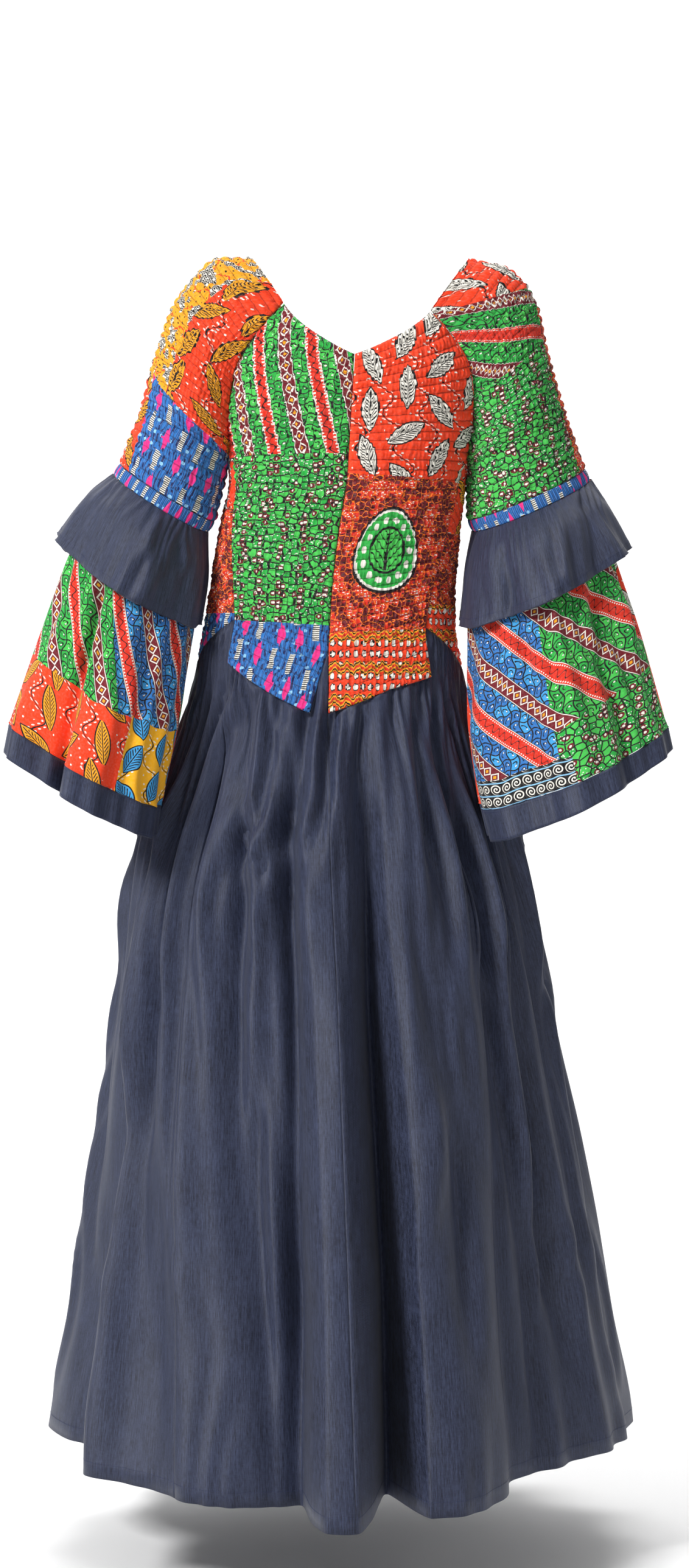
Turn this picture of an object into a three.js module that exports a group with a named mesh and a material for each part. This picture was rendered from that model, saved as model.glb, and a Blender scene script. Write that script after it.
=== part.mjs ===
// Peasant dress in its worn shape: a smocked raglan bodice with a V neck front and back, smocked
// upper sleeves, two-tier bell sleeves and a long gathered skirt of six gores.
// Millimetres, +Z up. The front faces -Y, the back +Y, and the wearer's left is +X.
// The origin is midway between the shoulder tops, where the wearer carries the dress.
import * as THREE from 'three';

const DEGREE = Math.PI / 180;

// Cloth walls and seams
const EDGE_INSET = 0.35;
const TIER_GAP = 0.4;
const ARMHOLE_GAP = 0.7;
const DENIM_WALL = 1.5;
const PRINT_WALL = 1.4;
const SMOCKED_WALL = 1.6;
const SMOCK_RISE = 1.7;
const GATHER_RISE = 1.5;
const GATHER_FADE = 0.16;

// Folds of a tier or of the skirt grow towards its hem by these powers of the drop
const TIER_FOLD_POWER = 1.3;
const SKIRT_FOLD_POWER = 0.9;
const TIER_GATHER_FADE = 0.4;
const LOW_PUFF = 0.72;

// Smocking: one puff stands between two stitched rows
const BACK_PANEL_ROWS = 25;
const SIDE_PANEL_ROWS = 13;
const OPEN_SLEEVE_ROWS = 15;
const CLOSED_SLEEVE_ROWS = 4;
const BACK_PANEL_COLUMNS = 6;
const SIDE_PANEL_COLUMNS = 6;
const SLEEVE_COLUMNS = 14;
const BAND_COLUMNS = 18;
const TIER_COLUMNS = 32;
const WAIST_ROWS = 3.5;

// Rows of the plain inner faces, counted in half smocking rows
const PANEL_INNER_ROWS = [0, 4, 7, 12, 16, 20, 24, 28, 31, 34, 38, 42, 46, 50];
const SIDE_INNER_ROWS = [0, 5, 9, 13, 17, 22, 26];
const SLEEVE_INNER_ROWS = [0, 4, 8, 12, 16, 20, 23, 26, 29, 32, 35, 38];

// Rows of the sleeve tiers, as parts of their drop from hem to seam
const TIER_STEPS = {
  ruffle: [1, 0.72, 0.45, 0.2, 0],
  bell: [1, 0.75, 0.5, 0.28, 0.12, 0],
};

// The right shoulder sits a little lower than the left one
const RIGHT_DROP = 10;

// Sections of the garment from the neck down to the hem, looking down on it
const SECTIONS = [
  { z: -1440, centre: 2, side: 353, back: 350, front: 318, round: 2.0 },
  { z: -1260, centre: 4, side: 325, back: 300, front: 280, round: 2.0 },
  { z: -1080, centre: 7, side: 294, back: 252, front: 240, round: 2.0 },
  { z: -860, centre: 12, side: 256, back: 194, front: 192, round: 2.0 },
  { z: -685, centre: 18, side: 228, back: 143, front: 150, round: 2.0 },
  { z: -548, centre: 19, side: 174, back: 106, front: 116, round: 2.2 },
  { z: -483, centre: 19, side: 157, back: 92, front: 104, round: 2.2 },
  { z: -418, centre: 16, side: 147, back: 84, front: 98, round: 2.2 },
  { z: -326, centre: 6, side: 143, back: 89, front: 106, round: 2.3 },
  { z: -271, centre: -3, side: 140, back: 97, front: 119, round: 2.3 },
  { z: -240, centre: -5, side: 143, back: 101, front: 121, round: 2.3 },
  { z: -190, centre: -8, side: 152, back: 103, front: 112, round: 2.3 },
  { z: -140, centre: -11, side: 156, back: 98, front: 94, round: 2.3 },
  { z: -95, centre: -13, side: 146, back: 84, front: 70, round: 2.3 },
  { z: -40, centre: -13, side: 122, back: 56, front: 42, round: 2.3 },
];

// Raglan seam from the neckline (seam 0) to the underarm (seam 1), turned back from the side
const RAGLAN = [
  { seam: 0, turn: 51, z: -58 },
  { seam: 0.22, turn: 39, z: -95 },
  { seam: 0.45, turn: 28, z: -135 },
  { seam: 0.66, turn: 21, z: -172 },
  { seam: 0.88, turn: 12, z: -218 },
  { seam: 0.94, turn: 7, z: -231 },
  { seam: 1, turn: 0, z: -240 },
];

// Back and front panels: their edge at the side seam and raglan seam, and at the centre seam
const PANEL_SIDE_EDGE = [
  { row: 0, turn: 42, z: -484 },
  { row: 3.5, turn: 42, z: -433 },
  { row: 7, turn: 36, z: -380 },
  { row: 12, turn: 25, z: -305 },
  { row: 17, turn: 12, z: -218 },
  { row: 19.3, turn: 21, z: -172 },
  { row: 21.2, turn: 28, z: -135 },
  { row: 23.2, turn: 39, z: -95 },
  { row: 25, turn: 51, z: -58 },
];
const LEFT_CENTRE_EDGE = [
  { row: 0, turn: 84, z: -544 },
  { row: 4, turn: 90, z: -470 },
  { row: 17, turn: 90, z: -230 },
  { row: 25, turn: 90, z: -123 },
];
const RIGHT_CENTRE_EDGE = [
  { row: 0, turn: 90, z: -544 },
  { row: 4, turn: 90, z: -470 },
  { row: 17, turn: 90, z: -230 },
  { row: 25, turn: 90, z: -123 },
];
// How far the right panels' waist edge lies from a straight one, from the side seam to the centre
const RIGHT_WAIST = [
  { across: 0, lift: -7 },
  { across: 0.5, lift: 3 },
  { across: 1, lift: 0 },
];

// Side panels: half their angle, and their height at the edge and under the arm
const SIDE_PANEL = [
  { row: 0, turn: 42, edge: -433, middle: -479 },
  { row: 3, turn: 36, edge: -380, middle: -425 },
  { row: 8, turn: 25, edge: -305, middle: -334 },
  { row: 13, turn: 12, edge: -218, middle: -240 },
];

// Upper sleeves above the underarm: the sleeve's outer line, how far the cloth turns round the arm
// from there to the raglan seam, and half the depth
const LEFT_CAP = [
  { seam: 0, outX: 111, outZ: 0, turn: 90, depth: 48 },
  { seam: 0.16, outX: 150, outZ: 1, turn: 97, depth: 56 },
  { seam: 0.27, outX: 175, outZ: -16, turn: 103, depth: 60 },
  { seam: 0.45, outX: 202, outZ: -51, turn: 114, depth: 64 },
  { seam: 0.61, outX: 217, outZ: -88, turn: 128, depth: 66 },
  { seam: 0.77, outX: 229, outZ: -125, turn: 146, depth: 66 },
  { seam: 1, outX: 243, outZ: -180, turn: 180, depth: 62 },
];
const RIGHT_CAP = [
  { seam: 0, outX: 149, outZ: -1, turn: 90, depth: 48 },
  { seam: 0.16, outX: 188, outZ: -8, turn: 97, depth: 58 },
  { seam: 0.27, outX: 211, outZ: -24, turn: 103, depth: 62 },
  { seam: 0.45, outX: 232, outZ: -62, turn: 114, depth: 66 },
  { seam: 0.61, outX: 241, outZ: -103, turn: 128, depth: 68 },
  { seam: 0.77, outX: 251, outZ: -142, turn: 146, depth: 68 },
  { seam: 1, outX: 266, outZ: -190, turn: 180, depth: 66 },
];

// Rings of a sleeve, each tilted between its outer and inner points, with its middle set back by y.
// The back of a ring hangs lower than its front by twice the droop.
const LEFT_ARM = {
  cuffTop: { outX: 269, outZ: -244, inX: 156, inZ: -313, y: 4, back: 62, front: 62, droop: 9 },
  seam: { outX: 277, outZ: -257, inX: 164, inZ: -326, y: 5, back: 63, front: 63, droop: 10 },
  ruffle: [
    { drop: 0, outX: 277, outZ: -257, inX: 164, inZ: -326, y: 5, back: 64, front: 64, droop: 10 },
    { drop: 0.35, outX: 305, outZ: -278, inX: 164, inZ: -362, y: 12, back: 86, front: 82, droop: 14 },
    { drop: 1, outX: 343, outZ: -334, inX: 173, inZ: -436, y: 24, back: 108, front: 92, droop: 22 },
  ],
  bell: [
    { drop: 0, outX: 277, outZ: -257, inX: 164, inZ: -326, y: 5, back: 64, front: 64, droop: 10 },
    { drop: 0.12, outX: 290, outZ: -282, inX: 170, inZ: -362, y: 12, back: 74, front: 70, droop: 13 },
    { drop: 0.32, outX: 328, outZ: -348, inX: 179, inZ: -437, y: 24, back: 90, front: 74, droop: 14 },
    { drop: 0.65, outX: 362, outZ: -450, inX: 194, inZ: -540, y: 50, back: 94, front: 64, droop: 12 },
    { drop: 1, outX: 395, outZ: -554, inX: 216, inZ: -651, y: 76, back: 98, front: 68, droop: 10 },
  ],
  hem: { outX: 401, outZ: -588, inX: 221, inZ: -688, y: 82, back: 99, front: 69, droop: 10 },
};
const RIGHT_ARM = {
  cuffTop: { outX: 288, outZ: -250, inX: 148, inZ: -311, y: 4, back: 66, front: 66, droop: 11 },
  seam: { outX: 294, outZ: -264, inX: 154, inZ: -325, y: 5, back: 67, front: 67, droop: 12 },
  ruffle: [
    { drop: 0, outX: 294, outZ: -264, inX: 154, inZ: -325, y: 5, back: 68, front: 68, droop: 12 },
    { drop: 0.35, outX: 312, outZ: -288, inX: 146, inZ: -362, y: 14, back: 92, front: 88, droop: 16 },
    { drop: 1, outX: 339, outZ: -345, inX: 139, inZ: -437, y: 30, back: 114, front: 98, droop: 22 },
  ],
  bell: [
    { drop: 0, outX: 294, outZ: -264, inX: 154, inZ: -325, y: 5, back: 68, front: 68, droop: 12 },
    { drop: 0.12, outX: 300, outZ: -288, inX: 152, inZ: -362, y: 14, back: 78, front: 74, droop: 14 },
    { drop: 0.32, outX: 326, outZ: -370, inX: 146, inZ: -438, y: 32, back: 94, front: 78, droop: 16 },
    { drop: 0.65, outX: 353, outZ: -458, inX: 146, inZ: -545, y: 60, back: 100, front: 70, droop: 18 },
    { drop: 1, outX: 378, outZ: -556, inX: 160, inZ: -651, y: 88, back: 104, front: 74, droop: 18 },
  ],
  hem: { outX: 383, outZ: -582, inX: 169, inZ: -689, y: 94, back: 105, front: 75, droop: 18 },
};

// Folds of the sleeve tiers at their hems, by the turn from the outer line: 90 is the back
const TIER_FOLDS = [
  { turn: -180, ruffle: 0, leftBell: 0, rightBell: 0 },
  { turn: -150, ruffle: 7, leftBell: 10, rightBell: 8 },
  { turn: -122, ruffle: -7, leftBell: -12, rightBell: -12 },
  { turn: -92, ruffle: 8, leftBell: 10, rightBell: 10 },
  { turn: -60, ruffle: -7, leftBell: -14, rightBell: -12 },
  { turn: -28, ruffle: 7, leftBell: 6, rightBell: 8 },
  { turn: 0, ruffle: 0, leftBell: 0, rightBell: 0 },
  { turn: 22, ruffle: 2, leftBell: 2, rightBell: 4 },
  { turn: 45, ruffle: -14, leftBell: -26, rightBell: -8 },
  { turn: 68, ruffle: -10, leftBell: -42, rightBell: 5 },
  { turn: 92, ruffle: 8, leftBell: 10, rightBell: 7 },
  { turn: 120, ruffle: -6, leftBell: 3, rightBell: -10 },
  { turn: 150, ruffle: 6, leftBell: 6, rightBell: 7 },
  { turn: 180, ruffle: 0, leftBell: 0, rightBell: 0 },
];

// Skirt gores, going round from the wearer's left side by the back. Each has the turn of its two
// seams at the waist and at the hem, and the height of its waist edge from one seam to the other.
const GORES = [
  {
    name: 'skirt_gore_side_left', columns: 26, from: [-42, -58], to: [42, 58],
    edge: [
      { across: 0, z: -433 }, { across: 0.5, z: -479 }, { across: 1, z: -433 },
    ],
  },
  {
    name: 'skirt_gore_back_left', columns: 16, from: [42, 58], to: [90, 92],
    edge: [
      { across: 0, z: -484 }, { across: 0.875, z: -544 }, { across: 1, z: -470 },
    ],
  },
  {
    name: 'skirt_gore_back_right', columns: 16, from: [90, 92], to: [138, 126],
    edge: [
      { across: 0, z: -544 }, { across: 0.5, z: -516 }, { across: 1, z: -501 },
    ],
  },
  {
    name: 'skirt_gore_side_right', columns: 26, from: [138, 126], to: [222, 238],
    edge: [
      { across: 0, z: -443 }, { across: 0.5, z: -489 }, { across: 1, z: -443 },
    ],
  },
  {
    name: 'skirt_gore_front_right', columns: 16, from: [222, 238], to: [270, 270],
    edge: [
      { across: 0, z: -501 }, { across: 0.5, z: -516 }, { across: 1, z: -544 },
    ],
  },
  {
    name: 'skirt_gore_front_left', columns: 16, from: [270, 270], to: [318, 302],
    edge: [
      { across: 0, z: -470 }, { across: 0.125, z: -544 }, { across: 1, z: -484 },
    ],
  },
];
// Rows of the skirt: from the waist edge down to the level where the gores meet, and from there
// to the hem, as parts of each drop
const LEVEL_Z = -572;
const WAIST_STEPS = [0, 0.3, 0.65];
const SKIRT_STEPS = [0, 0.08, 0.22, 0.38, 0.56, 0.78, 1];
const WAIST_Z = -545;
const HEM_Z = -1402;
const HEM_DIP = 22;

// Skirt folds at the hem, by their turn from the wearer's left side: 90 is the centre back
const SKIRT_FOLDS = [
  { turn: -60, out: -22 },
  { turn: -47, out: 20 },
  { turn: -34, out: -20 },
  { turn: -20, out: 16 },
  { turn: -9, out: -10 },
  { turn: 0, out: 2 },
  { turn: 12, out: -6 },
  { turn: 23, out: -34 },
  { turn: 32, out: 4 },
  { turn: 38, out: 40 },
  { turn: 46, out: 22 },
  { turn: 54, out: -4 },
  { turn: 62, out: -10 },
  { turn: 70, out: -3 },
  { turn: 77, out: -10 },
  { turn: 81.5, out: -36 },
  { turn: 85.5, out: 36 },
  { turn: 88, out: 66 },
  { turn: 92, out: 72 },
  { turn: 94.5, out: 32 },
  { turn: 97.5, out: -30 },
  { turn: 101, out: -76 },
  { turn: 105, out: 30 },
  { turn: 109, out: 36 },
  { turn: 118, out: 6 },
  { turn: 126, out: -22 },
  { turn: 134, out: -46 },
  { turn: 142, out: -42 },
  { turn: 150, out: -26 },
  { turn: 158, out: -12 },
  { turn: 168, out: -7 },
  { turn: 180, out: -2 },
  { turn: 191, out: -16 },
  { turn: 203, out: 15 },
  { turn: 216, out: -22 },
  { turn: 229, out: 20 },
  { turn: 242, out: -24 },
  { turn: 254, out: 24 },
  { turn: 266, out: -20 },
  { turn: 278, out: 26 },
  { turn: 290, out: -24 },
  { turn: 300, out: -22 },
];

// Where the hanging bells press the skirt in
const PRESSED = { turn: 36, halfTurn: 36, z: -630, halfHeight: 190, in: 22 };

// Value of every column of a table at a place along one of its columns, smooth and without
// overshoot
function along(table, key, place) {
  const last = table.length - 1;
  const rising = table[last][key] > table[0][key];
  let low = 0;
  while (low < last - 1 && (table[low + 1][key] < place) === rising) low += 1;
  const start = table[low];
  const end = table[low + 1];
  const span = end[key] - start[key];
  const part = THREE.MathUtils.clamp((place - start[key]) / span, 0, 1);
  const value = {};
  for (const column of Object.keys(start)) {
    const slope = (index) => {
      if (index <= 0 || index >= last) return 0;
      const [before, here, after] = [table[index - 1], table[index], table[index + 1]];
      const first = (here[column] - before[column]) / (here[key] - before[key]);
      const second = (after[column] - here[column]) / (after[key] - here[key]);
      return first * second > 0 ? (2 * first * second) / (first + second) : 0;
    };
    const startSlope = slope(low) * span;
    const endSlope = slope(low + 1) * span;
    const square = part * part;
    const cube = square * part;
    value[column] = (2 * cube - 3 * square + 1) * start[column]
      + (cube - 2 * square + part) * startSlope
      + (3 * square - 2 * cube) * end[column]
      + (cube - square) * endSlope;
  }
  return value;
}

// The same with straight lines between the rows of the table
function straight(table, key, place) {
  let low = 0;
  while (low < table.length - 2 && table[low + 1][key] < place) low += 1;
  const [start, end] = [table[low], table[low + 1]];
  const part = (place - start[key]) / (end[key] - start[key]);
  const value = {};
  for (const column of Object.keys(start)) {
    value[column] = THREE.MathUtils.lerp(start[column], end[column], part);
  }
  return value;
}

// Point of the garment's section at a height, turned back from the wearer's left side
function bodyPoint(turn, z, out = 0) {
  const section = along(SECTIONS, 'z', z);
  const power = 2 / section.round;
  const cosine = Math.cos(turn * DEGREE);
  const sine = Math.sin(turn * DEGREE);
  const across = Math.sign(cosine) * Math.abs(cosine) ** power;
  const deep = Math.sign(sine) * Math.abs(sine) ** power;
  const depth = sine > 0 ? section.back : section.front;
  return new THREE.Vector3(
    section.centre + (section.side + out) * across,
    (depth + out) * deep,
    z,
  );
}

function bodyNormal(turn, z) {
  const round = bodyPoint(turn + 1, z).sub(bodyPoint(turn - 1, z));
  const up = bodyPoint(turn, z + 2).sub(bodyPoint(turn, z - 2));
  return round.cross(up).normalize();
}

// Outward directions of a grid of points whose rows run anticlockwise and whose columns run up
function gridNormals(grid, closed) {
  return grid.map((row, i) => row.map((point, j) => {
    const width = row.length;
    const before = closed ? row[(j - 1 + width) % width] : row[Math.max(j - 1, 0)];
    const after = closed ? row[(j + 1) % width] : row[Math.min(j + 1, width - 1)];
    const lower = grid[Math.max(i - 1, 0)][j];
    const upper = grid[Math.min(i + 1, grid.length - 1)][j];
    const toAfter = after.clone().sub(point).normalize();
    const fromBefore = point.clone().sub(before).normalize();
    return toAfter.add(fromBefore).cross(upper.clone().sub(lower)).normalize();
  }));
}

function moveOut(grid, normals, distance) {
  return grid.map((row, i) => row.map((point, j) => {
    const step = typeof distance === 'function' ? distance(i, j) : distance;
    return point.clone().addScaledVector(normals[i][j], step);
  }));
}

// Draw the edges of a grid in along its rows and columns, to leave the seam's gap
function drawInEdges(grid, sides, ends) {
  const towards = (point, next) => {
    point.addScaledVector(next.clone().sub(point).normalize(), EDGE_INSET);
  };
  if (sides) {
    for (const row of grid) {
      towards(row[0], row[1]);
      towards(row[row.length - 1], row[row.length - 2]);
    }
  }
  if (ends) {
    grid[0].forEach((point, j) => towards(point, grid[1][j]));
    const top = grid.length - 1;
    grid[top].forEach((point, j) => towards(point, grid[top - 1][j]));
  }
}

// Side edges of a tube meet over its whole length
const NEVER_OPEN = { outer: Infinity, inner: Infinity };

// One closed body between an outer and an inner grid. Both have the same columns, and the inner
// one may have fewer rows. Above the row openFrom the two side edges lie apart and get a rim.
function wall(name, material, outer, inner, openFrom = { outer: 0, inner: 0 }) {
  const places = [];
  const faces = [];
  const known = new Map();
  const number = (point) => {
    const key = point.toArray().map((value) => value.toFixed(4)).join();
    if (!known.has(key)) {
      known.set(key, known.size);
      places.push(point.x, point.y, point.z);
    }
    return known.get(key);
  };
  const face = (...corners) => {
    const [a, b, c] = corners.map(number);
    if (a !== b && b !== c && c !== a) faces.push(a, b, c);
  };
  const sheet = (grid, outward) => {
    for (let i = 0; i < grid.length - 1; i += 1) {
      for (let j = 0; j < grid[i].length - 1; j += 1) {
        const [a, b] = [grid[i][j], grid[i][j + 1]];
        const [d, c] = [grid[i + 1][j], grid[i + 1][j + 1]];
        if (outward) {
          face(a, b, c);
          face(a, c, d);
        } else {
          face(a, c, b);
          face(a, d, c);
        }
      }
    }
  };
  const rim = (edge, back) => {
    let k = 0;
    let l = 0;
    while (k < edge.length - 1 || l < back.length - 1) {
      const nextEdge = (k + 1) / (edge.length - 1);
      const nextBack = (l + 1) / (back.length - 1);
      if (l === back.length - 1 || (k < edge.length - 1 && nextEdge <= nextBack + 1e-9)) {
        face(edge[k], edge[k + 1], back[l]);
        k += 1;
      } else {
        face(edge[k], back[l + 1], back[l]);
        l += 1;
      }
    }
  };
  sheet(outer, true);
  sheet(inner, false);
  const lastOuter = outer.length - 1;
  const lastInner = inner.length - 1;
  rim([...outer[0]].reverse(), [...inner[0]].reverse());
  rim(outer[lastOuter], inner[lastInner]);
  if (openFrom.outer < lastOuter) {
    const up = (grid, from, j) => grid.slice(from).map((row) => row.at(j));
    rim(up(outer, openFrom.outer, 0), up(inner, openFrom.inner, 0));
    rim(up(outer, openFrom.outer, -1).reverse(), up(inner, openFrom.inner, -1).reverse());
  }
  const geometry = new THREE.BufferGeometry();
  geometry.setAttribute('position', new THREE.Float32BufferAttribute(places, 3));
  geometry.setIndex(faces);
  const mesh = new THREE.Mesh(geometry, material);
  mesh.name = name;
  return mesh;
}

// Height of a smocked puff at a grid point: stitched rows are the even ones
function puff(i, j, columns) {
  if (i % 2 === 0 || j === 0 || j === columns) return 0;
  return SMOCK_RISE * ((i + 2 * j) % 4 < 2 ? 1 : LOW_PUFF);
}

// Cut one bodice panel from the body's surface. place(row, column) gives its turn and height.
function bodicePanel(name, material, rows, columns, innerRows, place) {
  const spots = [];
  for (let i = 0; i <= rows * 2; i += 1) {
    const line = [];
    for (let j = 0; j <= columns; j += 1) line.push(place(i / 2, j / columns));
    spots.push(line);
  }
  const base = spots.map((line) => line.map(({ turn, z }) => bodyPoint(turn, z)));
  const normals = spots.map((line) => line.map(({ turn, z }) => bodyNormal(turn, z)));
  drawInEdges(base, true, true);
  const outer = moveOut(base, normals, (i, j) => puff(i, j, columns));
  const inner = moveOut(base, normals, -SMOCKED_WALL);
  return wall(name, material, outer, innerRows.map((i) => inner[i]));
}

// Back and front panels. The front ones mirror the back ones across the side.
function mainPanel(name, material, side, face) {
  const centreEdge = side === 'left' ? LEFT_CENTRE_EDGE : RIGHT_CENTRE_EDGE;
  return bodicePanel(name, material, BACK_PANEL_ROWS, BACK_PANEL_COLUMNS, PANEL_INNER_ROWS,
    (row, part) => {
      const fromSide = (side === 'left') === (face === 'back') ? part : 1 - part;
      const outerEdge = straight(PANEL_SIDE_EDGE, 'row', row);
      const innerEdge = straight(centreEdge, 'row', row);
      const turn = THREE.MathUtils.lerp(outerEdge.turn, innerEdge.turn, fromSide);
      let z = THREE.MathUtils.lerp(outerEdge.z, innerEdge.z, fromSide);
      if (side === 'right') {
        const low = Math.max(0, 1 - row / WAIST_ROWS);
        z += low * straight(RIGHT_WAIST, 'across', fromSide).lift - (1 - fromSide) * RIGHT_DROP;
      }
      const fromLeft = side === 'left' ? turn : 180 - turn;
      return { turn: face === 'back' ? fromLeft : -fromLeft, z };
    });
}

function sidePanel(name, material, side) {
  return bodicePanel(name, material, SIDE_PANEL_ROWS, SIDE_PANEL_COLUMNS, SIDE_INNER_ROWS,
    (row, part) => {
      const span = straight(SIDE_PANEL, 'row', row);
      const fromMiddle = 2 * part - 1;
      const z = THREE.MathUtils.lerp(span.middle, span.edge, Math.abs(fromMiddle));
      const middle = side === 'left' ? 0 : 180;
      return { turn: middle + fromMiddle * span.turn, z: side === 'left' ? z : z - RIGHT_DROP };
    });
}

// Point of a sleeve ring: turn 0 is its outer line, 90 the back, 180 the underarm line
function ringPoint(ring, turn, out = 0) {
  const half = new THREE.Vector2((ring.outX - ring.inX) / 2, (ring.outZ - ring.inZ) / 2);
  const reach = half.length();
  const cosine = Math.cos(turn * DEGREE);
  const sine = Math.sin(turn * DEGREE);
  const outwards = (cosine * (reach + out)) / reach;
  return new THREE.Vector3(
    (ring.outX + ring.inX) / 2 + half.x * outwards,
    ring.y + ((sine > 0 ? ring.back : ring.front) + out) * sine,
    (ring.outZ + ring.inZ) / 2 + half.y * outwards - ring.droop * sine,
  );
}

function mixRing(first, second, part) {
  const ring = {};
  for (const key of Object.keys(second)) {
    ring[key] = THREE.MathUtils.lerp(first[key], second[key], part);
  }
  return ring;
}

// Sleeves are worked out on the wearer's left and mirrored for the right, where the columns are
// taken in the other order so that they still run anticlockwise
function turnOf(j, columns, side) {
  const turn = -180 + (360 * j) / columns;
  return side === 'left' ? turn : -turn;
}

function placeSide(point, side) {
  if (side === 'right') point.x = -point.x;
  return point;
}

function raglanPoint(seam, back, side) {
  const { turn, z } = along(RAGLAN, 'seam', seam);
  const height = side === 'left' ? z : z - RIGHT_DROP;
  const fromLeft = side === 'left' ? turn : 180 - turn;
  const point = bodyPoint(back ? fromLeft : -fromLeft, height);
  return placeSide(point, side);
}

// One open row of the upper sleeve, from the front raglan seam over the arm to the back one
function capRow(table, seam, side) {
  const row = along(table, 'seam', seam);
  const ends = [raglanPoint(seam, false, side), raglanPoint(seam, true, side)];
  const points = [];
  for (let j = 0; j <= SLEEVE_COLUMNS; j += 1) {
    const part = turnOf(j, SLEEVE_COLUMNS, side) / 180;
    const end = part < 0 ? ends[0] : ends[1];
    const reach = row.turn * DEGREE;
    const pull = 1 - Math.cos(reach);
    const middleX = (end.x - row.outX * Math.cos(reach)) / pull;
    const middleZ = (end.z - row.outZ * Math.cos(reach)) / pull;
    const angle = Math.abs(part) * reach;
    const shift = Math.abs(end.y) - row.depth * Math.sin(reach);
    const deep = row.depth * Math.sin(angle) + shift * Math.abs(part) ** 3;
    points.push(placeSide(new THREE.Vector3(
      middleX + (row.outX - middleX) * Math.cos(angle),
      Math.sign(part) * deep,
      middleZ + (row.outZ - middleZ) * Math.cos(angle),
    ), side));
  }
  return points;
}

function ringRow(ring, columns, side, out = () => 0) {
  const points = [];
  for (let j = 0; j < columns; j += 1) {
    const turn = turnOf(j, columns, side);
    points.push(placeSide(ringPoint(ring, turn, out(turn, j)), side));
  }
  points.push(points[0].clone());
  return points;
}

// Smocked upper sleeve: closed rings below the underarm, open rows above it
function upperSleeve(name, material, side) {
  const arm = side === 'left' ? LEFT_ARM : RIGHT_ARM;
  const table = side === 'left' ? LEFT_CAP : RIGHT_CAP;
  const shoulder = table.at(-1);
  const underarm = raglanPoint(1, true, side);
  const armhole = {
    outX: shoulder.outX, outZ: shoulder.outZ, inX: underarm.x, inZ: underarm.z,
    y: 0, back: shoulder.depth, front: shoulder.depth, droop: 0,
  };
  const base = [];
  const closedRows = CLOSED_SLEEVE_ROWS * 2;
  const openRows = OPEN_SLEEVE_ROWS * 2;
  for (let i = 0; i < closedRows; i += 1) {
    base.push(ringRow(mixRing(arm.cuffTop, armhole, i / closedRows), SLEEVE_COLUMNS, side));
  }
  for (let i = 0; i <= openRows; i += 1) base.push(capRow(table, 1 - i / openRows, side));
  base[closedRows][SLEEVE_COLUMNS] = base[closedRows][0].clone();
  drawInEdges(base, false, true);
  const normals = gridNormals(base, false);
  for (let i = 0; i <= closedRows; i += 1) {
    const seamNormal = normals[i][0].clone().add(normals[i][SLEEVE_COLUMNS]).normalize();
    normals[i][0] = seamNormal;
    normals[i][SLEEVE_COLUMNS] = seamNormal;
  }
  const outwards = side === 'left' ? 1 : -1;
  for (let i = closedRows; i < base.length; i += 1) {
    base[i][0].x += outwards * ARMHOLE_GAP;
    base[i][SLEEVE_COLUMNS].x += outwards * ARMHOLE_GAP;
  }
  const outer = moveOut(base, normals, (i, j) => puff(i, j, SLEEVE_COLUMNS));
  const inner = moveOut(base, normals, -SMOCKED_WALL);
  return wall(name, material, outer, SLEEVE_INNER_ROWS.map((i) => inner[i]), {
    outer: closedRows, inner: SLEEVE_INNER_ROWS.indexOf(closedRows),
  });
}

// A plain ring of cloth between two rings of the arm
function ringBand(name, material, side, top, bottom, columns, thickness, out) {
  const base = [bottom, top].map((ring) => ringRow(ring, columns, side, out));
  drawInEdges(base, false, true);
  const normals = gridNormals(base.map((row) => row.slice(0, -1)), true);
  for (const row of normals) row.push(row[0]);
  return wall(name, material, base, moveOut(base, normals, -thickness), NEVER_OPEN);
}

// A flared tier of a sleeve, gathered at its top. Inset sets it inside the tier above it.
function sleeveTier(name, material, side, kind, thickness, inset) {
  const arm = side === 'left' ? LEFT_ARM : RIGHT_ARM;
  const foldColumn = kind === 'ruffle' ? 'ruffle' : `${side}Bell`;
  const base = TIER_STEPS[kind].map((drop) => {
    const ring = along(arm[kind], 'drop', drop);
    const gather = GATHER_RISE * Math.max(0, 1 - drop / TIER_GATHER_FADE);
    return ringRow(ring, TIER_COLUMNS, side, (turn, j) => {
      const fold = along(TIER_FOLDS, 'turn', turn)[foldColumn] * drop ** TIER_FOLD_POWER;
      return fold + (j % 2 ? gather : -gather) - inset;
    });
  });
  drawInEdges(base, false, true);
  const normals = gridNormals(base.map((row) => row.slice(0, -1)), true);
  for (const row of normals) row.push(row[0]);
  return wall(name, material, base, moveOut(base, normals, -thickness), NEVER_OPEN);
}

// How far the bells press the skirt in, on both sides of its back
function pressedIn(turn, z) {
  if (Math.sin(turn * DEGREE) <= 0) return 0;
  const fromSide = Math.min(turn, 180 - turn);
  const aside = Math.abs(fromSide - PRESSED.turn) / PRESSED.halfTurn;
  const above = Math.abs(z - PRESSED.z) / PRESSED.halfHeight;
  if (aside >= 1 || above >= 1) return 0;
  return PRESSED.in * Math.cos((aside * Math.PI) / 2) ** 2 * Math.cos((above * Math.PI) / 2) ** 2;
}

function skirtPoint(turn, hemTurn, z, hemZ, gather) {
  const drop = THREE.MathUtils.clamp((WAIST_Z - z) / (WAIST_Z - hemZ), 0, 1);
  const wrapped = ((hemTurn + 60 + 360) % 360) - 60;
  const fold = along(SKIRT_FOLDS, 'turn', wrapped).out * drop ** SKIRT_FOLD_POWER;
  return bodyPoint(turn, z, fold + gather - pressedIn(turn, z));
}

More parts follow.
